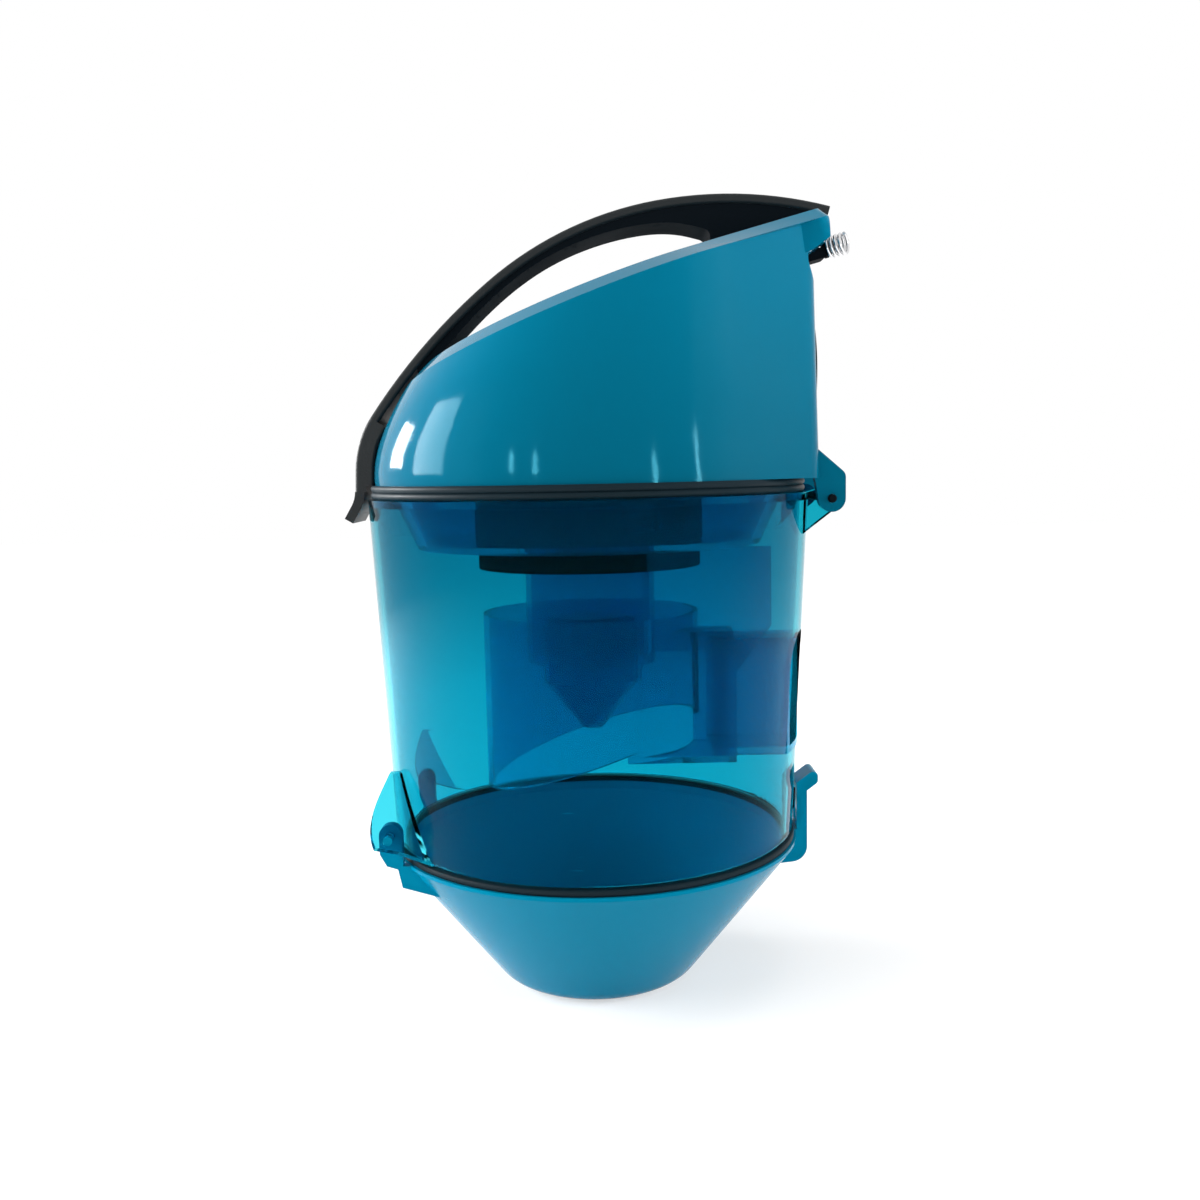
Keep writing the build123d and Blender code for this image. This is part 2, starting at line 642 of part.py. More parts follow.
with BuildPart() as filter_drum:
    add(ring(DRUM_R, DRUM_R - DRUM_WALL, TRAY_Z, TRAY_Z + DRUM_H))
    with BuildSketch(Plane.XY.offset(TRAY_Z + DRUM_H)):
        with PolarLocations(DRUM_R, 3, start_angle=DRUM_SLOT_ANGLE):
            Rectangle(3 * DRUM_WALL, DRUM_SLOT_W)
    extrude(amount=DRUM_WALL - DRUM_H, mode=Mode.SUBTRACT)
filter_drum.part.label = "filter_drum"

with BuildPart() as foam_filter:
    with BuildSketch(Plane.XY.offset(TRAY_Z + TUBE_FLANGE_T)):
        Circle(DRUM_R - DRUM_WALL - SEAT_GAP)
    extrude(amount=FOAM_H)
    fillet(foam_filter.edges().group_by(Axis.Z)[-1], FOAM_ROUND)
foam_filter.part.label = "foam_filter"

# Vortex bell: a thin closed bell hung in the tube by three fins
BELL_TOP_Z = TRAY_LOW_Z - BELL_DROP
BELL_LOW_Z = BELL_TOP_Z - BELL_BODY_H
with BuildPart() as vortex_bell:
    with BuildSketch(Plane.XZ) as bell_section:
        with BuildLine():
            Polyline(
                (0, BELL_TOP_Z),
                (BELL_R, BELL_TOP_Z),
                (BELL_R, BELL_LOW_Z),
                (BELL_TIP_R, BELL_LOW_Z - BELL_TIP_H),
                (BELL_TIP_R - BELL_WALL, BELL_LOW_Z - BELL_TIP_H),
                (BELL_R - BELL_WALL, BELL_LOW_Z),
                (BELL_R - BELL_WALL, BELL_TOP_Z - BELL_WALL),
                (0, BELL_TOP_Z - BELL_WALL),
                close=True,
            )
        make_face()
        crown = bell_section.vertices().filter_by_position(Axis.X, BELL_R - 0.01, BELL_R + 0.01)
        fillet(crown.sort_by(Axis.Y)[-1], BELL_ROUND)
    revolve(axis=Axis.Z)
    FIN_MID_R = (BELL_R - BELL_WALL / 2 + TUBE_R - TUBE_WALL - SEAT_GAP) / 2
    FIN_L = TUBE_R - TUBE_WALL - SEAT_GAP - BELL_R + BELL_WALL / 2
    with BuildSketch(Plane.XY.offset(BELL_TOP_Z - BELL_ROUND)):
        with PolarLocations(FIN_MID_R, 3):
            Rectangle(FIN_L, BELL_FIN_T)
    extrude(amount=-BELL_FIN_H)
vortex_bell.part.label = "vortex_bell"

# Hood: lofted shell with a bevelled roof, rear brow, catch pocket, outlet and hinge ears
HOOD_OUTSIDE = hood_outside(0)
with BuildPart() as hood_hollow:
    add(hood_body(HOOD_WALL))
    with Locations((NOTCH_X - HOOD_WALL, 0, POCKET_Z - HOOD_WALL)):
        Box(
            CUP_RIM_R,
            4 * HOOD_REAR_HALF,
            CUP_RIM_R,
            align=(Align.MIN, Align.CENTER, Align.MIN),
            mode=Mode.SUBTRACT,
        )
    with Locations((POCKET_X - HOOD_WALL, 0, POCKET_Z - HOOD_WALL)):
        Box(
            CUP_RIM_R,
            2 * (POCKET_HALF + HOOD_WALL),
            CUP_RIM_R,
            align=(Align.MIN, Align.CENTER, Align.MIN),
            mode=Mode.SUBTRACT,
        )

OUTLET_Z = HOOD_LOW_Z + OUTLET_RISE
SCREW_SEAT = roof_plane(HOOD_TILT, HOOD_EDGE_Z).offset(-HOOD_WALL / 2 * cos(radians(HOOD_TILT)))
with BuildPart() as hood_shell:
    add(HOOD_OUTSIDE)
    add(hood_hollow.part, mode=Mode.SUBTRACT)
    with Locations((0, 0, HOOD_LOW_Z)):
        Cylinder(HOOD_MOUTH_R, 3 * HOOD_WALL, mode=Mode.SUBTRACT)
    with BuildSketch(Plane.XZ):
        with BuildLine():
            face_low = BROW_EDGE_Z - BROW_FACE_H
            root_top = face_low - NOTCH_FALL
            root_low = root_top - NOTCH_ROOT_H
            Polyline(
                (BROW_X + BROW_SKIRT, face_low),
                (BROW_X, face_low),
                (NOTCH_X, root_top),
                (NOTCH_X, root_low),
                (HOOD_REAR_X + SEAT_GAP, root_low - NOTCH_RUN_OUT),
                (BROW_X + BROW_SKIRT, root_low - NOTCH_RUN_OUT),
                close=True,
            )
        make_face()
    extrude(amount=2 * HOOD_REAR_HALF, both=True, mode=Mode.SUBTRACT)
    with Locations((POCKET_X, 0, POCKET_Z)):
        Box(
            CUP_RIM_R,
            2 * POCKET_HALF,
            POCKET_H,
            align=(Align.MIN, Align.CENTER, Align.MIN),
            mode=Mode.SUBTRACT,
        )
    for ear_y in (-HOOD_EAR_Y, HOOD_EAR_Y):
        with BuildSketch(side_plane(ear_y)):
            root_x = HOOD_REAR_X - HOOD_WALL / 2
            with BuildLine():
                Line((root_x, HOOD_LOW_Z + HOOD_EAR_RISE), (root_x, HOOD_LOW_Z + HOOD_EAR_ROOT * HOOD_EAR_H))
            with Locations((HOOD_HINGE_X, HOOD_HINGE_Z)):
                Circle(HOOD_KNUCKLE_R)
            with Locations((HOOD_HINGE_X + HOOD_KNUCKLE_R - HOOD_SHOULDER_R, HOOD_LOW_Z)):
                Circle(HOOD_SHOULDER_R)
            make_hull()
            with Locations((HOOD_HINGE_X, HOOD_HINGE_Z)):
                Circle(HOOD_PIN_R + PIN_GAP, mode=Mode.SUBTRACT)
        extrude(amount=HOOD_EAR_T / 2, both=True)
    with BuildSketch(Plane.YZ.offset(HOOD_REAR_X + HOOD_WALL)):
        with Locations((0, OUTLET_Z)):
            Circle(OUTLET_R)
    extrude(amount=-3 * HOOD_WALL, mode=Mode.SUBTRACT)
    with BuildSketch(Plane.YZ.offset(HOOD_REAR_X + HOOD_WALL)):
        with Locations((0, OUTLET_Z)):
            Circle(OUTLET_R + OUTLET_GASKET_W + SEAT_GAP)
    extrude(amount=-HOOD_WALL - OUTLET_RECESS, mode=Mode.SUBTRACT)
    with BuildSketch(Plane.XZ):
        with Locations((CATCH_X, CATCH_Z)):
            Circle(CATCH_PIN_R + PIN_GAP)
    extrude(amount=POCKET_HALF + HOOD_WALL, both=True, mode=Mode.SUBTRACT)
    for screw_x in SCREW_X:
        with BuildSketch(SCREW_SEAT):
            with Locations((screw_x / cos(radians(HOOD_TILT)), 0)):
                Circle(SCREW_R + PIN_GAP)
        extrude(amount=SCREW_L, mode=Mode.SUBTRACT)
hood_shell.part.label = "hood_shell"

with BuildPart() as hood_seal:
    add(ring(HOOD_SEAL_R, HOOD_MOUTH_R, HOOD_LOW_Z - HOOD_SEAL_H, HOOD_LOW_Z))
    fillet(hood_seal.edges().filter_by(GeomType.CIRCLE).sort_by(SortBy.RADIUS)[-2:], HOOD_SEAL_ROUND)
hood_seal.part.label = "hood_seal"

with BuildPart() as outlet_gasket:
    with BuildSketch(Plane.YZ.offset(HOOD_REAR_X - OUTLET_RECESS)):
        with Locations((0, OUTLET_Z)):
            Circle(OUTLET_R + OUTLET_GASKET_W)
            Circle(OUTLET_R, mode=Mode.SUBTRACT)
    extrude(amount=OUTLET_RECESS + OUTLET_GASKET_T)
    fillet(outlet_gasket.edges().group_by(Axis.X)[-1], OUTLET_GASKET_ROUND)
outlet_gasket.part.label = "outlet_gasket"

with BuildPart() as outlet_grille:
    with BuildSketch(Plane.YZ.offset(HOOD_REAR_X)):
        with Locations((0, OUTLET_Z)):
            Circle(OUTLET_R - SEAT_GAP)
    extrude(amount=-GRILLE_T)
    with BuildSketch(Plane.YZ.offset(HOOD_REAR_X)) as slots:
        with Locations((0, OUTLET_Z)):
            Circle(OUTLET_R - SEAT_GAP - GRILLE_RIM)
        bars = int(2 * OUTLET_R / (GRILLE_BAR + GRILLE_SLOT)) + 1
        with Locations((0, OUTLET_Z)):
            with GridLocations(0, GRILLE_BAR + GRILLE_SLOT, 1, bars):
                Rectangle(2 * OUTLET_R, GRILLE_BAR, mode=Mode.SUBTRACT)
            Rectangle(GRILLE_BAR, 2 * OUTLET_R, mode=Mode.SUBTRACT)
    extrude(amount=-GRILLE_T, mode=Mode.SUBTRACT)
outlet_grille.part.label = "outlet_grille"


# Handle: the grip strap with its thumb lip, and the frame and heel under it
def arch_path(depth, arcs):
    """Leg and tangent arcs of the handle, a depth below its outer face."""
    turn = radians(LEG_ANGLE)
    foot_x = -(CUP_RIM_R + HANDLE_FOOT_OUT) + depth * sin(turn)
    foot_z = HOOD_LOW_Z - HANDLE_FOOT_DROP - depth * cos(turn)
    with BuildLine() as made:
        run = Line((foot_x, foot_z), (foot_x + LEG_L * cos(turn), foot_z + LEG_L * sin(turn)))
        for radius, bend in zip(ARCH_RADII[:arcs], ARCH_TURNS[:arcs]):
            run = JernArc(run @ 1, run % 1, radius * ARCH_FIT - depth, -bend)
    return made.line


def strap(depth, arcs, half, thick):
    """Strap with a rounded section along the arch, its middle a depth below the outer face."""
    path = Plane.XZ * arch_path(depth, arcs)
    with BuildPart() as made:
        with BuildSketch(Plane(path @ 0, x_dir=(0, 1, 0), z_dir=path % 0)):
            RectangleRounded(2 * half, thick, GRIP_ROUND)
        sweep(path=path)
    return made.part


HOOD_CLEAR = hood_outside(SEAT_GAP)
LEG_DOWN = (-cos(radians(LEG_ANGLE)), -sin(radians(LEG_ANGLE)))
GRIP_ABOVE = arch_path(0, 4)
FRAME_ABOVE = arch_path(GRIP_T, 4)
FRAME_LOW = [(back * ARCH_FIT - CUP_RIM_R, HOOD_EDGE_Z + rise) for back, rise in GAP_LINE]
with BuildPart() as handle_grip:
    add(strap(GRIP_T / 2, 4, HANDLE_HALF, GRIP_T))
    add(strap(LEG_T / 2, 1, HANDLE_HALF, LEG_T))
    with BuildSketch(Plane.XZ):
        with BuildLine():
            lip_out = JernArc(GRIP_ABOVE @ 0, LEG_DOWN, LIP_R, -LIP_TURN)
            edge_out = Line(lip_out @ 1, lip_out @ 1 + (lip_out % 1) * LIP_L)
            lip_in = JernArc(FRAME_ABOVE @ 0, LEG_DOWN, LIP_R + GRIP_T, -LIP_TURN)
            edge_in = Line(lip_in @ 1, lip_in @ 1 + (lip_in % 1) * LIP_L)
            Line(edge_out @ 1, edge_in @ 1)
            Line(lip_out @ 0, lip_in @ 0)
        make_face()
    extrude(amount=HANDLE_HALF, both=True)
    add(HOOD_CLEAR, mode=Mode.SUBTRACT)
    with BuildSketch(Plane.XY.offset(CUP_LOW_Z)):
        Circle(CUP_RIM_R + RIM_GAP)
    extrude(amount=HOOD_LOW_Z - CUP_LOW_Z, mode=Mode.SUBTRACT)
handle_grip.part.label = "handle_grip"

with BuildPart() as handle_frame:
    with BuildSketch(Plane.XZ):
        with BuildLine():
            add(FRAME_ABOVE)
            frame_end = FRAME_ABOVE @ 1
            frame_start = FRAME_ABOVE @ 0
            Polyline(frame_end, (frame_end.X, CUP_TOP_Z), (frame_start.X, CUP_TOP_Z), frame_start)
        make_face()
        with Locations((FRAME_FRONT_X, HOOD_EDGE_Z)):
            Rectangle(CUP_RIM_R, 4 * CUP_RIM_R, align=(Align.MAX, Align.CENTER), mode=Mode.SUBTRACT)
        with BuildLine():
            seat_lift = HOOD_EDGE_Z + (ROOF_BEVEL_H + SEAT_GAP) / cos(radians(HOOD_TILT))
            heel_z = seat_lift + SLOPE * HEEL_X
            Polyline(
                (HEEL_X - HEEL_LEAN, seat_lift + SLOPE * (HEEL_X - HEEL_LEAN)),
                (HEEL_X, heel_z + HEEL_LEAN),
                (HEEL_X + 2 * HEEL_LEAN, heel_z + HEEL_H),
                (HEEL_END_X, heel_z + HEEL_END_H),
                (HEEL_END_X, seat_lift + SLOPE * HEEL_END_X),
                close=True,
            )
        make_face()
        with BuildLine():
            cut_front = FRAME_FRONT_X - HANDLE_HALF
            cut_rear = BROW_X + HANDLE_HALF
            Polyline(
                (cut_front, seat_lift + SLOPE * cut_front),
                (cut_rear, seat_lift + SLOPE * cut_rear),
                (cut_rear, CUP_LOW_Z),
                (cut_front, CUP_LOW_Z),
                close=True,
            )
        make_face(mode=Mode.SUBTRACT)
        with BuildSketch(mode=Mode.SUBTRACT) as finger_gap:
            with BuildLine():
                under = Spline(FRAME_LOW)
                Polyline(
                    under @ 1,
                    (HEEL_X, FRAME_LOW[-1][1] - HEEL_LEAN),
                    (HEEL_X - HEEL_LEAN, seat_lift),
                    (FRAME_LOW[0][0], HOOD_LOW_Z),
                    under @ 0,
                )
            make_face()
            fillet(finger_gap.vertices().group_by(Axis.X)[-1], GAP_ROUND)
    extrude(amount=FRAME_HALF, both=True)
    for screw_x in SCREW_X:
        with BuildSketch(SCREW_SEAT):
            with Locations((screw_x / cos(radians(HOOD_TILT)), 0)):
                Circle(SCREW_R + PIN_GAP)
        extrude(amount=SCREW_L + SEAT_GAP, mode=Mode.SUBTRACT)
handle_frame.part.label = "handle_frame"

# Screws driven from inside the hood into the heel
with BuildPart() as handle_screws:
    for screw_x in SCREW_X:
        with BuildSketch(SCREW_SEAT):
            with Locations((screw_x / cos(radians(HOOD_TILT)), 0)):
                Circle(SCREW_R)
        extrude(amount=SCREW_L)
        with BuildSketch(SCREW_SEAT):
            with Locations((screw_x / cos(radians(HOOD_TILT)), 0)):
                Circle(SCREW_HEAD_R)
        extrude(amount=-SCREW_HEAD_T)
handle_screws.part.label = "handle_screws"

# Release catch: a lever in the pocket with a spring on its peg
SPRING_SEAT = Plane((BROW_X + CATCH_TOE, -1.5, CATCH_Z + CATCH_HUB_R), z_dir=SPRING_AXIS)
with BuildPart() as release_catch:
    with BuildSketch(Plane.XZ):
        with Locations((CATCH_X, CATCH_Z)):
            Circle(CATCH_HUB_R)
        with BuildLine():
            toe_x = BROW_X + CATCH_TOE
            Line((toe_x, CATCH_Z + CATCH_HUB_R), (toe_x, CATCH_Z))
        make_hull()
        with Locations((CATCH_X, CATCH_Z)):
            Circle(CATCH_PIN_R + PIN_GAP, mode=Mode.SUBTRACT)
    extrude(amount=CATCH_HALF, both=True)
    with BuildSketch(SPRING_SEAT):
        Circle(CATCH_SEAT_R)
    extrude(amount=CATCH_SEAT_T)
    with BuildSketch(SPRING_SEAT):
        Circle(CATCH_PEG_R)
    extrude(amount=CATCH_SEAT_T + CATCH_PEG_L)
release_catch.part.label = "release_catch"

with BuildPart() as catch_spring:
    with BuildLine():
        coil = Helix(
            SPRING_PITCH,
            SPRING_TURNS * SPRING_PITCH,
            SPRING_R,
            center=SPRING_SEAT.offset(CATCH_SEAT_T + SPRING_WIRE_R + SEAT_GAP).origin,
            direction=SPRING_AXIS,
        )
    with BuildSketch(Plane(coil @ 0, z_dir=coil % 0)):
        Circle(SPRING_WIRE_R)
    sweep(path=coil, is_frenet=True)
catch_spring.part.label = "catch_spring"

with BuildPart() as catch_pin:
    with BuildSketch(Plane.XZ):
        with Locations((CATCH_X, CATCH_Z)):
            Circle(CATCH_PIN_R)
    extrude(amount=POCKET_HALF + HOOD_WALL, both=True)
catch_pin.part.label = "catch_pin"

with BuildPart() as hood_hinge_pin:
    with BuildSketch(Plane.XZ):
        with Locations((HOOD_HINGE_X, HOOD_HINGE_Z)):
            Circle(HOOD_PIN_R)
    extrude(amount=HOOD_EAR_Y + HOOD_EAR_T / 2 + HOOD_PIN_PROUD, both=True)
    chamfer(hood_hinge_pin.edges().filter_by(GeomType.CIRCLE), HOOD_PIN_BEVEL)
hood_hinge_pin.part.label = "hood_hinge_pin"

with BuildPart() as lid_hinge_pins:
    PIN_L = cheek_y(LID_HINGE_Z) + CHEEK_HALF + 0.2 - LID_EAR_Y + LID_EAR_T / 2 + 1
    for pin_y in (-1, 1):
        with BuildSketch(side_plane(pin_y * (LID_EAR_Y - LID_EAR_T / 2 - 1 + PIN_L / 2))):
            with Locations((LID_HINGE_X, LID_HINGE_Z)):
                Circle(LID_PIN_R)
        extrude(amount=PIN_L / 2, both=True)
lid_hinge_pins.part.label = "lid_hinge_pins"

os.makedirs("parts", exist_ok=True)
export_step(cone_lid.part, "parts/cone_lid.step")
export_step(lid_gasket.part, "parts/lid_gasket.step")
export_step(dust_cup.part, "parts/dust_cup.step")
export_step(inlet_boot.part, "parts/inlet_boot.step")
export_step(cyclone_chamber.part, "parts/cyclone_chamber.step")
export_step(filter_tray.part, "parts/filter_tray.step")
export_step(vortex_tube.part, "parts/vortex_tube.step")
export_step(filter_collar.part, "parts/filter_collar.step")
export_step(filter_drum.part, "parts/filter_drum.step")
export_step(foam_filter.part, "parts/foam_filter.step")
export_step(vortex_bell.part, "parts/vortex_bell.step")
export_step(hood_shell.part, "parts/hood_shell.step")
export_step(hood_seal.part, "parts/hood_seal.step")
export_step(outlet_gasket.part, "parts/outlet_gasket.step")
export_step(outlet_grille.part, "parts/outlet_grille.step")
export_step(handle_grip.part, "parts/handle_grip.step")
export_step(handle_frame.part, "parts/handle_frame.step")
export_step(handle_screws.part, "parts/handle_screws.step")
export_step(release_catch.part, "parts/release_catch.step")
export_step(catch_spring.part, "parts/catch_spring.step")
export_step(catch_pin.part, "parts/catch_pin.step")
export_step(hood_hinge_pin.part, "parts/hood_hinge_pin.step")
export_step(lid_hinge_pins.part, "parts/lid_hinge_pins.step")
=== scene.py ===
"""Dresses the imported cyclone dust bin: clear blue cup, teal hood and cone, black handle and seals."""

import json
import logging
import math
from dataclasses import dataclass, field
from enum import Enum

import bpy
import numpy as np
from mathutils import Matrix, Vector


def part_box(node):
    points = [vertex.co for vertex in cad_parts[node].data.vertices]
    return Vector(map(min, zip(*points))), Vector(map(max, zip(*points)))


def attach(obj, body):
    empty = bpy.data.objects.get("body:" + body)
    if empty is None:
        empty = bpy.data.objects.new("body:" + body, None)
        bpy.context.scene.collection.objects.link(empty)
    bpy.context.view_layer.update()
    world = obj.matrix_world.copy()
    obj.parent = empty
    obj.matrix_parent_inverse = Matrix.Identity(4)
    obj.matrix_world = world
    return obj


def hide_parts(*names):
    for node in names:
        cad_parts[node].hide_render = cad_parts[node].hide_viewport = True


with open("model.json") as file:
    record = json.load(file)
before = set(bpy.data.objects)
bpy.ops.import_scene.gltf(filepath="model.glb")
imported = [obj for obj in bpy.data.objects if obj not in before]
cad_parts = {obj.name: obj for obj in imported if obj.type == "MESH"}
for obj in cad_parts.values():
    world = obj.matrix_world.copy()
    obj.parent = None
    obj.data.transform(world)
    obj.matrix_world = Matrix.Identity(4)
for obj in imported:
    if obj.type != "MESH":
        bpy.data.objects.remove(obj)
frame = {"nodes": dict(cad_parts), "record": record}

LOG = logging.getLogger("dust_bin")
MM = 0.001
BUMP_REACH = 0.0002
Pair = tuple[float, float]
Triple = tuple[float, float, float]


class Body(Enum):
    """Rigid bodies that a piece can ride on."""

    BIN = "bin"
    HOOD = "hood"
    CATCH = "catch"
    LID = "lid"


class Slot(Enum):
    """Material slots of the record."""

    CUP = "cup"
    INNER = "inner"
    SHELL = "shell"
    LID = "lid"
    CHARCOAL = "charcoal"
    BLACK = "black"
    SEAL = "seal"
    FOAM = "foam"
    STEEL = "steel"
    SPRING = "spring"


class SurfaceGroups:
    """Shared shader groups: mould grain, a drifting tint with a painted shade ramp by height, handling
    scuffs, and open foam pores with painted shade in their pits.
    """

    GRAIN_DETAIL = 3.0
    BROAD_SCALE = 28.0
    BROAD_DETAIL = 4.0
    BROAD_RANGE: Pair = (0.3, 0.7)
    DRIFT_DETAIL = 2.0
    STREAK_STRETCH: Triple = (60.0, 60.0, 900.0)
    STREAK_TURN: Triple = (0.4, 0.2, 0.9)
    STREAK_DETAIL = 5.0
    STREAK_RANGE: Pair = (0.62, 0.74)
    PORE_RANGE: Pair = (0.15, 0.6)

    def __init__(self) -> None:
        """Builds the groups once."""
        self.grain = self._make_grain()
        # the drift group holds both the tint drift and the painted shade ramp by height
        self.drift = self._make_drift_and_shade()
        self.scuffs = self._make_scuffs()
        # the pores group gives foam cells with painted shade in their pits
        self.pores = self._make_pores_and_pit_shade()

    @staticmethod
    def _new(
        name: str, inputs: list[tuple[str, str, float]], outputs: list[tuple[str, str]]
    ) -> bpy.types.NodeTree:
        """Makes an empty group with named sockets.

        Args:
            name: the group's name.
            inputs: name, socket type and default of each input.
            outputs: name and socket type of each output.

        Returns:
            The node group.
        """
        tree = bpy.data.node_groups.new(name, "ShaderNodeTree")
        for label, kind, default in inputs:
            socket = tree.interface.new_socket(name=label, in_out="INPUT", socket_type=kind)
            if kind == "NodeSocketFloat":
                socket.default_value = default
        for label, kind in outputs:
            tree.interface.new_socket(name=label, in_out="OUTPUT", socket_type=kind)
        return tree

    def _make_grain(self) -> bpy.types.NodeTree:
        """Grain: fine noise as a height, and a roughness that broad noise swings from low to high.

        Returns:
            The group, which puts out Height and Roughness.
        """
        tree = self._new(
            "mould_grain",
            [
                ("Vector", "NodeSocketVector", 0.0),
                ("Scale", "NodeSocketFloat", 900.0),
                ("Rough Low", "NodeSocketFloat", 0.2),
                ("Rough High", "NodeSocketFloat", 0.3),
            ],
            [("Height", "NodeSocketFloat"), ("Roughness", "NodeSocketFloat")],
        )
        nodes, links = tree.nodes, tree.links
        entry, leave = nodes.new("NodeGroupInput"), nodes.new("NodeGroupOutput")
        fine = nodes.new("ShaderNodeTexNoise")
        fine.inputs["Detail"].default_value = self.GRAIN_DETAIL
        links.new(entry.outputs["Vector"], fine.inputs["Vector"])
        links.new(entry.outputs["Scale"], fine.inputs["Scale"])
        broad = nodes.new("ShaderNodeTexNoise")
        broad.inputs["Scale"].default_value = self.BROAD_SCALE
        broad.inputs["Detail"].default_value = self.BROAD_DETAIL
        links.new(entry.outputs["Vector"], broad.inputs["Vector"])
        swing = nodes.new("ShaderNodeMapRange")
        swing.inputs["From Min"].default_value, swing.inputs["From Max"].default_value = self.BROAD_RANGE
        links.new(broad.outputs["Fac"], swing.inputs["Value"])
        links.new(entry.outputs["Rough Low"], swing.inputs["To Min"])
        links.new(entry.outputs["Rough High"], swing.inputs["To Max"])
        links.new(fine.outputs["Fac"], leave.inputs["Height"])
        links.new(swing.outputs["Result"], leave.inputs["Roughness"])
        return tree

    def _make_drift_and_shade(self) -> bpy.types.NodeTree:
        """Drift and painted shade: a colour that moves slowly between two tints over the surface, and a ramp
        from Tint A to Tint B with height, mixed in by Climb, that paints shade up the part.

        Returns:
            The group, which puts out Color.
        """
        tree = self._new(
            "tint_drift_and_painted_shade",
            [
                ("Vector", "NodeSocketVector", 0.0),
                ("Scale", "NodeSocketFloat", 9.0),
                ("Tint A", "NodeSocketColor", 0.0),
                ("Tint B", "NodeSocketColor", 0.0),
                ("Low", "NodeSocketFloat", 0.0),
                ("High", "NodeSocketFloat", 1.0),
                ("Climb", "NodeSocketFloat", 0.0),
            ],
            [("Color", "NodeSocketColor")],
        )
        nodes, links = tree.nodes, tree.links
        entry, leave = nodes.new("NodeGroupInput"), nodes.new("NodeGroupOutput")
        cloud = nodes.new("ShaderNodeTexNoise")
        cloud.inputs["Detail"].default_value = self.DRIFT_DETAIL
        links.new(entry.outputs["Vector"], cloud.inputs["Vector"])
        links.new(entry.outputs["Scale"], cloud.inputs["Scale"])
        blend = nodes.new("ShaderNodeMix")
        blend.data_type = "RGBA"
        axes = nodes.new("ShaderNodeSeparateXYZ")
        links.new(entry.outputs["Vector"], axes.inputs["Vector"])
        # painted shade: Z mapped from Low to High gives a ramp from Tint A to Tint B up the part
        climb = nodes.new("ShaderNodeMapRange")
        links.new(axes.outputs["Z"], climb.inputs["Value"])
        links.new(entry.outputs["Low"], climb.inputs["From Min"])
        links.new(entry.outputs["High"], climb.inputs["From Max"])
        mask = nodes.new("ShaderNodeMix")
        links.new(entry.outputs["Climb"], mask.inputs["Factor"])
        links.new(cloud.outputs["Fac"], mask.inputs["A"])
        links.new(climb.outputs["Result"], mask.inputs["B"])
        links.new(mask.outputs["Result"], blend.inputs["Factor"])
        links.new(entry.outputs["Tint A"], blend.inputs["A"])
        links.new(entry.outputs["Tint B"], blend.inputs["B"])
        links.new(blend.outputs["Result"], leave.inputs["Color"])
        return tree

    def _make_scuffs(self) -> bpy.types.NodeTree:
        """Scuffs: thin streaks of stretched noise that add to a base roughness.

        Returns:
            The group, which puts out Roughness.
        """
        tree = self._new(
            "handling_scuffs",
            [
                ("Vector", "NodeSocketVector", 0.0),
                ("Roughness", "NodeSocketFloat", 0.2),
                ("Amount", "NodeSocketFloat", 0.1),
            ],
            [("Roughness", "NodeSocketFloat")],
        )
        nodes, links = tree.nodes, tree.links
        entry, leave = nodes.new("NodeGroupInput"), nodes.new("NodeGroupOutput")
        stretch = nodes.new("ShaderNodeMapping")
        stretch.inputs["Scale"].default_value = self.STREAK_STRETCH
        stretch.inputs["Rotation"].default_value = self.STREAK_TURN
        links.new(entry.outputs["Vector"], stretch.inputs["Vector"])
        streak = nodes.new("ShaderNodeTexNoise")
        streak.inputs["Scale"].default_value = 1.0
        streak.inputs["Detail"].default_value = self.STREAK_DETAIL
        links.new(stretch.outputs["Vector"], streak.inputs["Vector"])
        pick = nodes.new("ShaderNodeMapRange")
        pick.inputs["From Min"].default_value, pick.inputs["From Max"].default_value = self.STREAK_RANGE
        links.new(streak.outputs["Fac"], pick.inputs["Value"])
        rise = nodes.new("ShaderNodeMath")
        rise.operation = "MULTIPLY_ADD"
        links.new(pick.outputs["Result"], rise.inputs[0])
        links.new(entry.outputs["Amount"], rise.inputs[1])
        links.new(entry.outputs["Roughness"], rise.inputs[2])
        links.new(rise.outputs["Value"], leave.inputs["Roughness"])
        return tree

    def _make_pores_and_pit_shade(self) -> bpy.types.NodeTree:
        """Pores: cell walls of open foam, as a height, and a colour that follows it from dark deep cells to
        lighter walls, a painted shade in the pits.

        Returns:
            The group, which puts out Color and Height.
        """
        tree = self._new(
            "foam_pores_and_pit_shade",
            [
                ("Vector", "NodeSocketVector", 0.0),
                ("Scale", "NodeSocketFloat", 700.0),
                ("Painted Pit Shade", "NodeSocketColor", 0.0),
                ("Wall", "NodeSocketColor", 0.0),
            ],
            [("Color", "NodeSocketColor"), ("Height", "NodeSocketFloat")],
        )
        nodes, links = tree.nodes, tree.links
        entry, leave = nodes.new("NodeGroupInput"), nodes.new("NodeGroupOutput")
        cells = nodes.new("ShaderNodeTexVoronoi")
        links.new(entry.outputs["Vector"], cells.inputs["Vector"])
        links.new(entry.outputs["Scale"], cells.inputs["Scale"])
        wall = nodes.new("ShaderNodeMapRange")
        wall.inputs["From Min"].default_value, wall.inputs["From Max"].default_value = self.PORE_RANGE
        links.new(cells.outputs["Distance"], wall.inputs["Value"])
        blend = nodes.new("ShaderNodeMix")
        blend.data_type = "RGBA"
        # painted shade: the colour darkens from the walls into the pits with their depth
        links.new(wall.outputs["Result"], blend.inputs["Factor"])
        links.new(entry.outputs["Painted Pit Shade"], blend.inputs["A"])
        links.new(entry.outputs["Wall"], blend.inputs["B"])
        links.new(blend.outputs["Result"], leave.inputs["Color"])
        links.new(wall.outputs["Result"], leave.inputs["Height"])
        return tree


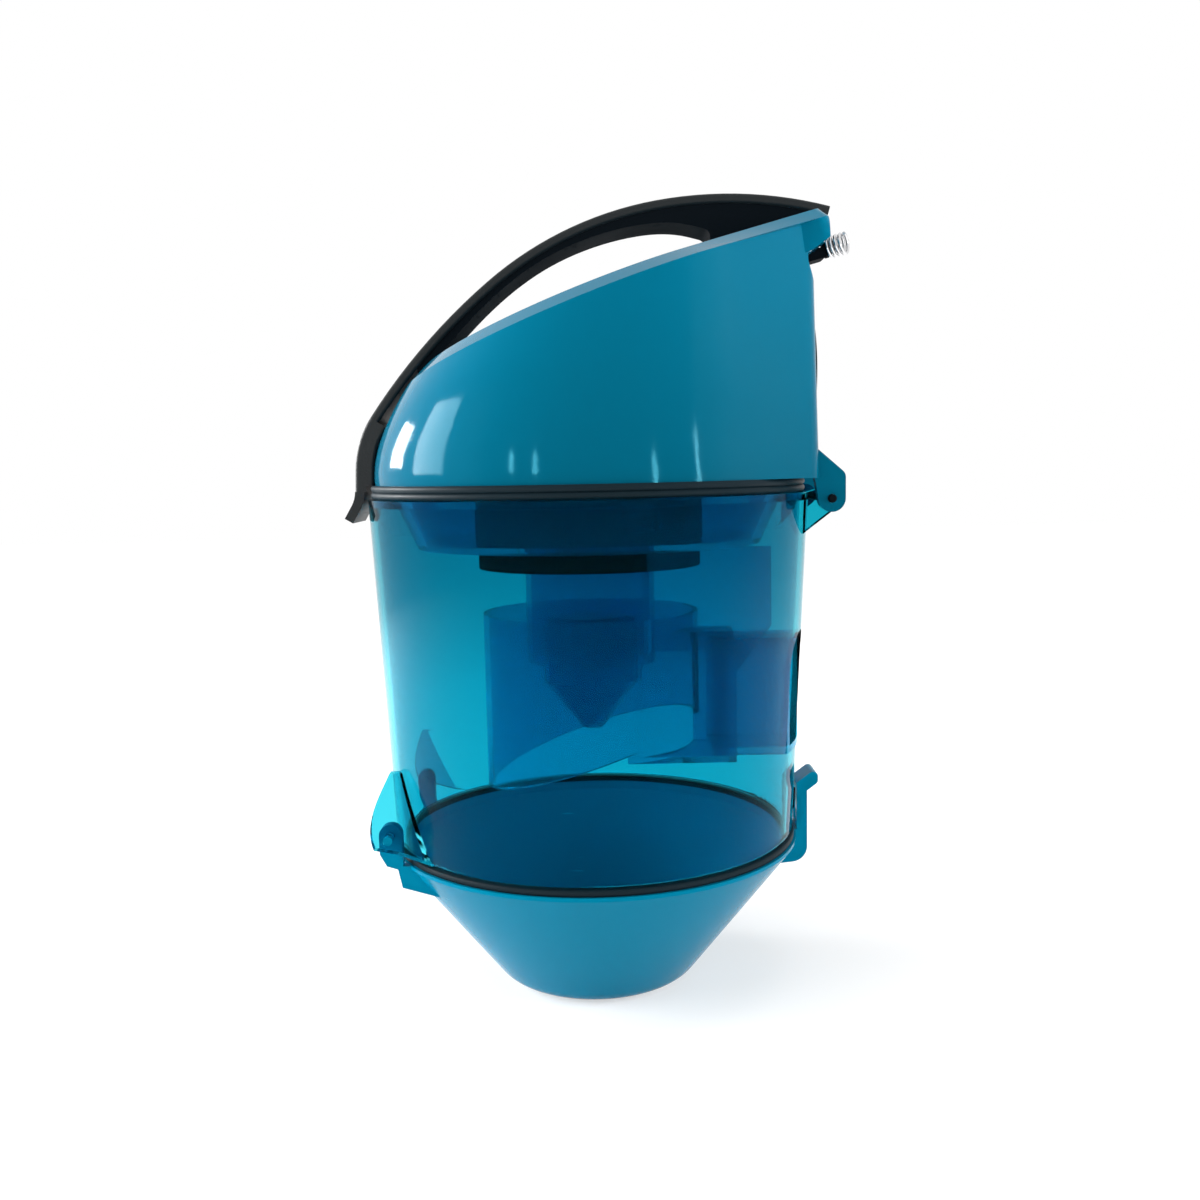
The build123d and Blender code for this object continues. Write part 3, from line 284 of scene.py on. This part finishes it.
@dataclass(frozen=True)
class Finish:
    """One moulded, rubber, foam or metal finish, made of the shared groups and a Principled shader."""

    name: str
    tint_a: Triple
    tint_b: Triple
    rough: Pair
    grain_scale: float = 900.0
    grain_depth: float = 0.05
    scuff: float = 0.08
    metallic: float = 0.0
    transmission: float = 0.0
    ior: float = 1.46
    specular: float = 0.5
    gloss_tint: Triple = (1.0, 1.0, 1.0)
    foamed: bool = False
    # climb and span: the share and the height range, in metres, of a painted shade ramp from tint_a low down
    # to tint_b high up
    climb: float = 0.0
    span: Pair = (0.0, 1.0)

    def make(self, groups: SurfaceGroups) -> bpy.types.Material:
        """Builds the material.

        Args:
            groups: the shared shader groups.

        Returns:
            The finished material.
        """
        material = bpy.data.materials.new(self.name)
        material.use_nodes = True
        nodes, links = material.node_tree.nodes, material.node_tree.links
        nodes.clear()
        shader = nodes.new("ShaderNodeBsdfPrincipled")
        out = nodes.new("ShaderNodeOutputMaterial")
        links.new(shader.outputs["BSDF"], out.inputs["Surface"])
        place = nodes.new("ShaderNodeTexCoord")
        paint = self._paint(material, groups)
        grain = nodes.new("ShaderNodeGroup")
        grain.node_tree = groups.grain
        grain.inputs["Scale"].default_value = self.grain_scale
        grain.inputs["Rough Low"].default_value = self.rough[0]
        grain.inputs["Rough High"].default_value = self.rough[1]
        scuff = nodes.new("ShaderNodeGroup")
        scuff.node_tree = groups.scuffs
        scuff.inputs["Amount"].default_value = self.scuff
        bump = nodes.new("ShaderNodeBump")
        bump.inputs["Strength"].default_value = self.grain_depth
        bump.inputs["Distance"].default_value = BUMP_REACH
        for reader in (paint, grain, scuff):
            links.new(place.outputs["Object"], reader.inputs["Vector"])
        height = paint.outputs["Height"] if self.foamed else grain.outputs["Height"]
        links.new(grain.outputs["Roughness"], scuff.inputs["Roughness"])
        links.new(height, bump.inputs["Height"])
        links.new(paint.outputs["Color"], shader.inputs["Base Color"])
        links.new(scuff.outputs["Roughness"], shader.inputs["Roughness"])
        links.new(bump.outputs["Normal"], shader.inputs["Normal"])
        shader.inputs["Metallic"].default_value = self.metallic
        shader.inputs["IOR"].default_value = self.ior
        shader.inputs["Specular IOR Level"].default_value = self.specular
        shader.inputs["Specular Tint"].default_value = (*self.gloss_tint, 1.0)
        shader.inputs["Transmission Weight"].default_value = self.transmission
        return material

    def _paint(self, material: bpy.types.Material, groups: SurfaceGroups) -> bpy.types.ShaderNodeGroup:
        """Adds the colour group: foam pores with painted shade in their pits, or a drift between the two
        tints with a painted shade ramp by height.

        Args:
            material: the material that takes the node.
            groups: the shared shader groups.

        Returns:
            The group node, with its two tints set.
        """
        paint = material.node_tree.nodes.new("ShaderNodeGroup")
        paint.node_tree = groups.pores if self.foamed else groups.drift
        first, second = ("Painted Pit Shade", "Wall") if self.foamed else ("Tint A", "Tint B")
        paint.inputs[first].default_value = (*self.tint_a, 1.0)
        paint.inputs[second].default_value = (*self.tint_b, 1.0)
        if not self.foamed:
            # share and height range of the painted shade ramp
            paint.inputs["Climb"].default_value = self.climb
            paint.inputs["Low"].default_value, paint.inputs["High"].default_value = self.span
        return paint


CYAN_GLOSS: Triple = (0.15, 0.8, 1.0)
FINISHES: dict[Slot, Finish] = {
    # cup: painted shade, lighter low down in tint_a and darker towards the rim in tint_b, from 70 to 180 mm
    # up
    Slot.CUP: Finish(
        "clear_blue_cup", (0.045, 0.54, 0.65), (0.002, 0.36, 0.485), (0.02, 0.05), grain_depth=0.0,
        scuff=0.04, transmission=1.0, ior=1.12, gloss_tint=CYAN_GLOSS, climb=0.85, span=(0.07, 0.18)
    ),
    Slot.INNER: Finish(
        "clear_blue_inner", (0.005, 0.53, 0.72), (0.004, 0.49, 0.69), (0.06, 0.12), grain_depth=0.0,
        scuff=0.05, transmission=0.9, ior=1.12, gloss_tint=CYAN_GLOSS
    ),
    # hood: painted shade, darker at its lower edge in tint_a and lighter towards the roof in tint_b, from 186
    # to 265 mm up
    Slot.SHELL: Finish(
        "teal_hood", (0.0, 0.122, 0.205), (0.0, 0.2, 0.333), (0.06, 0.1), grain_depth=0.01,
        transmission=0.3, ior=1.2, gloss_tint=CYAN_GLOSS, climb=0.8, span=(0.186, 0.265)
    ),
    Slot.LID: Finish(
        "teal_cone", (0.0, 0.25, 0.405), (0.0, 0.225, 0.37), (0.14, 0.22), grain_depth=0.004,
        transmission=0.3, ior=1.12, gloss_tint=CYAN_GLOSS
    ),
    Slot.CHARCOAL: Finish(
        "charcoal_grip", (0.014, 0.017, 0.018), (0.009, 0.011, 0.012), (0.36, 0.5), 1400.0, 0.3, 0.15, ior=1.3
    ),
    Slot.BLACK: Finish(
        "black_frame", (0.005, 0.007, 0.009), (0.003, 0.005, 0.007), (0.5, 0.65), 1200.0, 0.25, 0.12,
        ior=1.15, specular=0.1
    ),
    Slot.SEAL: Finish(
        "black_rubber", (0.003, 0.009, 0.013), (0.005, 0.014, 0.02), (0.4, 0.55), 1600.0, 0.3, 0.1, ior=1.2
    ),
    # foam: tint_a is the painted shade deep in the pits, tint_b the cell walls
    Slot.FOAM: Finish(
        "filter_foam", (0.004, 0.004, 0.005), (0.045, 0.047, 0.05), (0.85, 0.95), 420.0, 1.0, 0.0,
        specular=0.2, foamed=True
    ),
    Slot.STEEL: Finish(
        "hinge_steel", (0.55, 0.55, 0.56), (0.48, 0.48, 0.49), (0.22, 0.34), 1500.0, 0.05, 0.15, metallic=1.0
    ),
    Slot.SPRING: Finish(
        "bright_spring", (0.8, 0.8, 0.81), (0.7, 0.7, 0.71), (0.12, 0.22), 1500.0, 0.03, 0.1, metallic=1.0
    ),
}


@dataclass
class Palette:
    """Materials of the slots, each made at its first use."""

    groups: SurfaceGroups
    materials: dict[Slot, bpy.types.Material] = field(default_factory=dict)

    def finish(self, slot: Slot) -> bpy.types.Material:
        """Gives the material of a slot.

        Args:
            slot: the slot of the record.

        Returns:
            The slot's material.
        """
        if slot not in self.materials:
            self.materials[slot] = FINISHES[slot].make(self.groups)
        return self.materials[slot]


class MeshKit:
    """Turns numpy grids of points into smooth closed meshes."""

    SHARP = math.radians(50.0)

    @staticmethod
    def _quads(rows: int, columns: int, wrap_rows: bool) -> np.ndarray:
        """Quads of a grid that closes on itself along its columns.

        Args:
            rows: number of rows of points.
            columns: number of points in a row.
            wrap_rows: whether the last row joins the first.

        Returns:
            An array of four point numbers for each face.
        """
        row = np.arange(rows if wrap_rows else rows - 1)[:, None]
        column = np.arange(columns)[None, :]
        after, beside = (row + 1) % rows, (column + 1) % columns
        here, there = row * columns, after * columns
        corners = (here + column, here + beside, there + beside, there + column)
        return np.stack(corners, axis=-1).reshape(-1, 4)

    @classmethod
    def closed_grid(cls, name: str, points: np.ndarray, wrap_rows: bool) -> bpy.types.Object:
        """Makes a mesh of a grid of points, with a fan over each open end.

        Args:
            name: the object's name.
            points: rows by columns by three, in metres, each row a closed ring.
            wrap_rows: whether the last ring joins the first, as in a torus.

        Returns:
            The linked object.
        """
        rows, columns = points.shape[:2]
        corners = points.reshape(-1, 3)
        faces = cls._quads(rows, columns, wrap_rows).tolist()
        if not wrap_rows:
            hubs = np.stack((points[0].mean(axis=0), points[-1].mean(axis=0)))
            corners = np.concatenate((corners, hubs))
            near = np.arange(columns)
            beside = (near + 1) % columns
            first = np.stack((np.full(columns, rows * columns), beside, near), axis=-1)
            far = (rows - 1) * columns
            last = np.stack((np.full(columns, rows * columns + 1), far + near, far + beside), axis=-1)
            faces += first.tolist() + last.tolist()
        mesh = bpy.data.meshes.new(name)
        mesh.from_pydata(corners.tolist(), [], faces)
        mesh.shade_smooth()
        mesh.set_sharp_from_angle(angle=cls.SHARP)
        made = bpy.data.objects.new(name, mesh)
        bpy.context.scene.collection.objects.link(made)
        return made

    @classmethod
    def turned(
        cls, name: str, radius: np.ndarray, height: np.ndarray, steps: int, wrap: bool
    ) -> bpy.types.Object:
        """Turns a profile about the Z axis: x and y are the radius times the cosine and sine of the angle.

        A profile that runs up the outer side gives faces that point outwards.

        Args:
            name: the object's name.
            radius: radius of each profile point, or of each profile point at each step.
            height: height of each profile point, in the same shape.
            steps: number of steps round the axis.
            wrap: whether the profile closes on itself.

        Returns:
            The linked object.
        """
        angle = np.linspace(0.0, 2.0 * math.pi, steps, endpoint=False)
        radius = np.broadcast_to(radius.reshape(len(radius), -1), (len(radius), steps))
        height = np.broadcast_to(height.reshape(len(height), -1), (len(height), steps))
        points = np.stack((radius * np.cos(angle), radius * np.sin(angle), height), axis=-1)
        return cls.closed_grid(name, points, wrap)

    @classmethod
    def tube(
        cls, name: str, path: np.ndarray, around: np.ndarray, wire: float, sides: int
    ) -> bpy.types.Object:
        """Runs a round wire along a path: at each point a circle lies square to the path's direction.

        Args:
            name: the object's name.
            path: the points of the path.
            around: a direction across the path at each point.
            wire: the wire's radius.
            sides: number of points round the wire.

        Returns:
            The linked object.
        """
        along = np.gradient(path, axis=0)
        along /= np.linalg.norm(along, axis=1, keepdims=True)
        across = around - along * np.sum(around * along, axis=1, keepdims=True)
        across /= np.linalg.norm(across, axis=1, keepdims=True)
        upright = np.cross(along, across)
        angle = np.linspace(0.0, 2.0 * math.pi, sides, endpoint=False)[None, :, None]
        ring = across[:, None] * np.cos(angle) + upright[:, None] * np.sin(angle)
        return cls.closed_grid(name, path[:, None] + wire * ring, False)


@dataclass
class SubAssembly:
    """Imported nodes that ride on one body, with the pieces that are modelled for them."""

    palette: Palette
    body: Body = Body.BIN
    nodes: tuple[str, ...] = ()
    lip_points: int = 14
    lip_power: float = 0.6
    ring_steps: int = 192

    def dress(self) -> None:
        """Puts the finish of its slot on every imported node."""
        slots = {entry["node"]: entry["material_slot"] for entry in frame["record"]["subparts"]}
        for name in self.nodes:
            slot = Slot(slots[name])
            frame["nodes"][name].material_slots[0].material = self.palette.finish(slot)
            LOG.info("%s: %s", name, slot.value)

    def build(self) -> None:
        """Models the pieces of the sub-assembly, where it has any."""

    def adopt(self, piece: bpy.types.Object, slot: Slot, node: str) -> None:
        """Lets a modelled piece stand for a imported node.

        Args:
            piece: the modelled piece.
            slot: the slot whose finish it takes.
            node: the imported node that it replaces.
        """
        piece.data.materials.append(self.palette.finish(slot))
        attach(piece, self.body.value)
        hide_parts(node)
        LOG.info("%s stands for %s", piece.name, node)

    def lipped_ring(self, name: str, node: str, width: float, lips: int, depth: float) -> None:
        """Replaces a plain seal ring by one whose outer face has rounded lips.

        Up the ring's height the lips swell as the size of a sine, raised to a power that makes them fuller.

        Args:
            name: the piece's name.
            node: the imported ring.
            width: the ring's width in millimetres.
            lips: number of lips.
            depth: depth of the grooves between them, in millimetres.
        """
        low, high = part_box(node)
        share = np.linspace(0.0, 1.0, self.lip_points * lips + 1)
        swell = np.abs(np.sin(math.pi * lips * share)) ** self.lip_power
        outer = high[0] - depth * MM * (1.0 - swell)
        inner = high[0] - width * MM
        radius = np.concatenate((outer, (inner, inner)))
        height = np.concatenate((low[2] + (high[2] - low[2]) * share, (high[2], low[2])))
        self.adopt(MeshKit.turned(name, radius, height, self.ring_steps, True), Slot.SEAL, node)


@dataclass
class Cup(SubAssembly):
    """Clear cup with its inlet, chamber and hinge pins."""

    nodes: tuple[str, ...] = ("dust_cup", "inlet_boot", "cyclone_chamber", "hood_hinge_pin", "lid_hinge_pins")


@dataclass
class FilterStack(SubAssembly):
    """Tray, tube, bell and drum, with the foam puck in the drum."""

    nodes: tuple[str, ...] = ("filter_tray", "vortex_tube", "vortex_bell", "filter_collar", "filter_drum")
    foam_dip: float = 0.8
    foam_ripple: float = 0.35
    foam_steps: int = 168
    foam_rings: int = 40
    foam_hub: float = 2.0
    foam_round: float = 1.5
    round_points: int = 9
    foam_waist: float = 0.3
    waves: int = 14
    wave_pace: Pair = (300.0, 1500.0)
    wave_seed: int = 7

    def build(self) -> None:
        """Models the foam puck: a rounded disc whose top dips as a parabola and ripples in its upper half."""
        low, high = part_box("foam_filter")
        edge, thick = high[0], high[2] - low[2]
        corner = np.linspace(0.0, math.pi / 2.0, self.round_points)
        round_off, hub = self.foam_round * MM, self.foam_hub * MM
        top_r = np.linspace(hub, edge - round_off, self.foam_rings)
        side_r = edge - round_off + round_off * np.sin(corner[1:])
        radius = np.concatenate((top_r, side_r, (edge, edge - round_off, hub)))
        dip = self.foam_dip * MM * (1.0 - (top_r / top_r[-1]) ** 2)
        side_z = high[2] - round_off + round_off * np.cos(corner[1:])
        height = np.concatenate((high[2] - dip, side_z, (low[2] + self.foam_waist * thick, low[2], low[2])))
        angle = np.linspace(0.0, 2.0 * math.pi, self.foam_steps, endpoint=False)
        ripple = self._ripple(radius[:, None] * np.cos(angle), radius[:, None] * np.sin(angle))
        fade = np.clip((height - low[2]) / thick * 2.0 - 1.0, 0.0, 1.0)[:, None]
        heights = height[:, None] - self.foam_ripple * MM * fade * ripple
        radii = np.broadcast_to(radius[:, None], heights.shape)
        puck = MeshKit.turned("foam_puck", radii[::-1], heights[::-1], self.foam_steps, False)
        self.adopt(puck, Slot.FOAM, "foam_filter")

    def _ripple(self, x: np.ndarray, y: np.ndarray) -> np.ndarray:
        """Mean of a few sine waves in different directions, brought to 0 to 1.

        Args:
            x: x of each point.
            y: y of each point.

        Returns:
            The ripple at each point.
        """
        dice = np.random.default_rng(self.wave_seed)
        turn = dice.uniform(0.0, 2.0 * math.pi, self.waves)
        pace = dice.uniform(*self.wave_pace, self.waves)
        shift = dice.uniform(0.0, 2.0 * math.pi, self.waves)
        phase = x[..., None] * np.cos(turn) * pace + y[..., None] * np.sin(turn) * pace + shift
        return 0.5 + 0.5 * np.sin(phase).mean(axis=-1)


@dataclass
class Hood(SubAssembly):
    """Teal hood with its seal and air outlet."""

    body: Body = Body.HOOD
    nodes: tuple[str, ...] = ("hood_shell", "outlet_gasket", "outlet_grille", "catch_pin")
    seal_width: float = 7.0
    lips: int = 2
    lip_depth: float = 0.7

    def build(self) -> None:
        """Models the seal under the hood, with two lips."""
        self.lipped_ring("hood_lip_seal", "hood_seal", self.seal_width, self.lips, self.lip_depth)


@dataclass
class Handle(SubAssembly):
    """Charcoal grip on its black frame, and the frame's screws."""

    body: Body = Body.HOOD
    nodes: tuple[str, ...] = ("handle_grip", "handle_frame", "handle_screws")


@dataclass
class Catch(SubAssembly):
    """Release catch with its coil spring."""

    body: Body = Body.CATCH
    nodes: tuple[str, ...] = ("release_catch",)
    axis: Triple = (0.849, -0.5, 0.17)
    coil: float = 3.5
    wire: float = 0.6
    turns: float = 4.25
    length: float = 6.4
    closed: float = 0.9
    closed_pitch: float = 1.04
    turn_points: int = 56
    wire_sides: int = 14

    def build(self) -> None:
        """Models the spring: a helix of round wire, close wound at its ends and evenly open between."""
        low, high = (np.array(corner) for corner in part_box("catch_spring"))
        axis = np.array(self.axis) / np.linalg.norm(self.axis)
        side = np.cross((0.0, 0.0, 1.0), axis)
        side /= np.linalg.norm(side)
        upright = np.cross(axis, side)
        turn = np.linspace(0.0, self.turns, int(self.turns * self.turn_points))
        pitch = 2.0 * self.wire * self.closed_pitch
        free = self.length - 2.0 * self.closed * pitch
        open_turns = self.turns - 2.0 * self.closed
        climb = np.interp(
            turn,
            (0.0, self.closed, self.turns - self.closed, self.turns),
            (0.0, self.closed * pitch, self.closed * pitch + free, self.length),
        )
        LOG.info("spring: %.1f open turns at %.2f mm", open_turns, free / open_turns)
        angle = (2.0 * math.pi * turn)[:, None]
        around = side * np.cos(angle) + upright * np.sin(angle)
        middle = (low + high) / 2.0
        path = middle + MM * ((climb - self.length / 2.0)[:, None] * axis + self.coil * around)
        coil = MeshKit.tube("spring_coil", path, around, self.wire * MM, self.wire_sides)
        self.adopt(coil, Slot.SPRING, "catch_spring")


@dataclass
class Lid(SubAssembly):
    """Teal cone with its gasket."""

    body: Body = Body.LID
    nodes: tuple[str, ...] = ("cone_lid",)
    gasket_width: float = 4.0
    lips: int = 1
    lip_depth: float = 0.5

    def build(self) -> None:
        """Models the gasket on the rim, with one full lip."""
        self.lipped_ring("lid_lip_gasket", "lid_gasket", self.gasket_width, self.lips, self.lip_depth)


@dataclass(frozen=True)
class Lamp:
    """Soft lamp, wide and high, that faces a point, in metres and watts."""

    name: str
    place: Triple
    aim: Triple
    size: Pair
    power: float
    mirrored: bool

    def build(self) -> None:
        """Adds the lamp, seen in reflections only if it is mirrored."""
        data = bpy.data.lights.new(self.name, "AREA")
        data.shape = "RECTANGLE"
        data.size, data.size_y = self.size
        data.energy = self.power
        lamp = bpy.data.objects.new(self.name, data)
        bpy.context.scene.collection.objects.link(lamp)
        lamp.visible_glossy = self.mirrored
        back = np.array(self.place) - np.array(self.aim)
        back /= np.linalg.norm(back)
        side = np.cross((0.0, 0.0, 1.0), back)
        side /= np.linalg.norm(side)
        turn = np.eye(4)
        turn[:3, :3] = np.column_stack((side, np.cross(back, side), back))
        turn[:3, 3] = self.place
        lamp.matrix_world = Matrix(turn.tolist())


@dataclass
class Studio:
    """White studio: floor, soft lamps and the camera of the reference view."""

    camera_place: Triple = (3.57, -448.3, 191.3)
    camera_pitch: float = 6.32
    camera_roll: float = 1.154
    focal_px: float = 1206.0
    frame_px: float = 1200.0
    sensor: float = 36.0
    near_clip: float = 0.01
    room_light: float = 0.25
    floor_half: float = 3.0
    floor_drop: float = 0.0002
    floor_shade: float = 0.86
    # glow strength near and far from the object: the dimmer glow near it is painted shade round its foot
    floor_glow: Pair = (1.3, 2.2)
    painted_shade_reach: Pair = (0.06, 0.6)
    floor_share: float = 0.4
    light_bounces: int = 28
    glint_aim: Triple = (0.0, 0.0, 0.19)
    glint_size: Pair = (0.05, 0.09)
    glint_power: float = 0.7
    glints: tuple[Triple, ...] = (
        (-0.764, -1.014, 0.284),
        (-0.533, -1.155, 0.281),
        (0.712, -1.052, 0.278),
        (1.063, -0.676, 0.313),
    )
    lamps: list[Lamp] = field(
        default_factory=lambda: [
            Lamp("window_left", (-0.85, 0.42, 0.36), (0.0, 0.0, 0.2), (0.22, 0.22), 7.0, True),
            Lamp("window_pane", (-0.9, -0.04, 0.38), (0.0, 0.0, 0.2), (0.36, 0.36), 8.0, True),
            Lamp("left_wash", (-0.82, -0.38, 0.34), (0.0, 0.0, 0.2), (0.4, 0.4), 5.0, False),
            Lamp("soft_right", (0.95, -0.3, 0.4), (0.0, 0.0, 0.16), (0.5, 0.5), 9.0, False),
            Lamp("front_fill", (0.15, -1.3, 0.55), (0.0, 0.0, 0.14), (1.1, 1.1), 0.8, False),
            Lamp("top_soft", (0.0, -0.1, 1.1), (0.0, 0.0, 0.2), (0.6, 0.6), 4.0, False),
        ]
    )

    def build(self) -> None:
        """Builds the stage in order."""
        self._camera()
        self._world()
        self._floor()
        for lamp in self.lamps:
            lamp.build()
        for count, place in enumerate(self.glints):
            Lamp(f"glint_{count}", place, self.glint_aim, self.glint_size, self.glint_power, True).build()
        bpy.context.scene.view_settings.view_transform = "Standard"
        paths = bpy.context.scene.cycles
        paths.max_bounces = self.light_bounces
        paths.transmission_bounces = self.light_bounces

    def _camera(self) -> None:
        """Places the camera: pitched down about X, then rolled about its own axis."""
        pitch, roll = math.radians(self.camera_pitch), math.radians(self.camera_roll)
        forward = np.array((0.0, math.cos(pitch), -math.sin(pitch)))
        right = np.array((1.0, 0.0, 0.0))
        up = np.array((0.0, math.sin(pitch), math.cos(pitch)))
        side = math.cos(roll) * right - math.sin(roll) * up
        top = math.sin(roll) * right + math.cos(roll) * up
        turn = np.eye(4)
        turn[:3, :3] = np.column_stack((side, top, -forward))
        turn[:3, 3] = np.array(self.camera_place) * MM
        lens = bpy.data.cameras.new("reference_camera")
        lens.sensor_width = self.sensor
        lens.lens = self.sensor * self.focal_px / self.frame_px
        lens.clip_start = self.near_clip
        view = bpy.data.objects.new("reference_camera", lens)
        bpy.context.scene.collection.objects.link(view)
        view.matrix_world = Matrix(turn.tolist())
        bpy.context.scene.camera = view

    @staticmethod
    def _seen(tree: bpy.types.NodeTree) -> bpy.types.NodeSocket:
        """Adds a mask that is 1 for camera, clear and mirrored rays.

        Args:
            tree: the node tree that takes the nodes.

        Returns:
            The mask's output socket.
        """
        path = tree.nodes.new("ShaderNodeLightPath")
        mask = path.outputs["Is Camera Ray"]
        for ray in ("Is Transmission Ray", "Is Glossy Ray"):
            either = tree.nodes.new("ShaderNodeMath")
            either.operation = "MAXIMUM"
            tree.links.new(mask, either.inputs[0])
            tree.links.new(path.outputs[ray], either.inputs[1])
            mask = either.outputs["Value"]
        return mask

    def _world(self) -> None:
        """White world for camera, clear and mirrored rays, and a softer one that lights the object."""
        world = bpy.data.worlds.new("white_room")
        bpy.context.scene.world = world
        world.use_nodes = True
        tree = world.node_tree
        tree.nodes.clear()
        out = tree.nodes.new("ShaderNodeOutputWorld")
        sky = tree.nodes.new("ShaderNodeBackground")
        sky.inputs["Color"].default_value = (1.0, 1.0, 1.0, 1.0)
        level = tree.nodes.new("ShaderNodeMapRange")
        level.inputs["To Min"].default_value = self.room_light
        level.inputs["To Max"].default_value = 1.0
        tree.links.new(self._seen(tree), level.inputs["Value"])
        tree.links.new(level.outputs["Result"], sky.inputs["Strength"])
        tree.links.new(sky.outputs["Background"], out.inputs["Surface"])

    def _floor(self) -> None:
        """Pale floor that looks white to the camera but for the object's soft shadow; its glow is dimmer near
        the object, a painted shade round its foot that deepens the real shadow.
        """
        mesh = bpy.data.meshes.new("floor")
        corners = np.array(((-1, -1, 0), (1, -1, 0), (1, 1, 0), (-1, 1, 0))) * self.floor_half
        mesh.from_pydata((corners - (0, 0, self.floor_drop)).tolist(), [], [(0, 1, 2, 3)])
        floor = bpy.data.objects.new("floor", mesh)
        bpy.context.scene.collection.objects.link(floor)
        material = bpy.data.materials.new("pale_floor")
        material.use_nodes = True
        tree = material.node_tree
        tree.nodes.clear()
        out = tree.nodes.new("ShaderNodeOutputMaterial")
        paint = tree.nodes.new("ShaderNodeBsdfDiffuse")
        paint.inputs["Color"].default_value = (self.floor_shade, self.floor_shade, self.floor_shade, 1.0)
        glow = tree.nodes.new("ShaderNodeEmission")
        place = tree.nodes.new("ShaderNodeTexCoord")
        # painted shade: the glow grows with distance from the object, so the floor round its foot is dimmer
        reach = tree.nodes.new("ShaderNodeVectorMath")
        reach.operation = "LENGTH"
        tree.links.new(place.outputs["Object"], reach.inputs[0])
        level = tree.nodes.new("ShaderNodeMapRange")
        level.inputs["From Min"].default_value, level.inputs["From Max"].default_value = self.painted_shade_reach
        level.inputs["To Min"].default_value, level.inputs["To Max"].default_value = self.floor_glow
        tree.links.new(reach.outputs["Value"], level.inputs["Value"])
        tree.links.new(level.outputs["Result"], glow.inputs["Strength"])
        share = tree.nodes.new("ShaderNodeMath")
        share.operation = "MULTIPLY"
        share.inputs[1].default_value = self.floor_share
        tree.links.new(self._seen(tree), share.inputs[0])
        blend = tree.nodes.new("ShaderNodeMixShader")
        tree.links.new(share.outputs["Value"], blend.inputs["Fac"])
        tree.links.new(paint.outputs["BSDF"], blend.inputs[1])
        tree.links.new(glow.outputs["Emission"], blend.inputs[2])
        tree.links.new(blend.outputs["Shader"], out.inputs["Surface"])
        mesh.materials.append(material)


def main() -> None:
    """Builds the stage and the sub-assemblies in order."""
    logging.basicConfig(level=logging.INFO, format="%(name)s: %(message)s")
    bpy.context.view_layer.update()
    Studio().build()
    palette = Palette(SurfaceGroups())
    for kind in (Cup, FilterStack, Hood, Handle, Catch, Lid):
        part = kind(palette)
        part.build()
        part.dress()


if __name__ == "__main__":
    main()
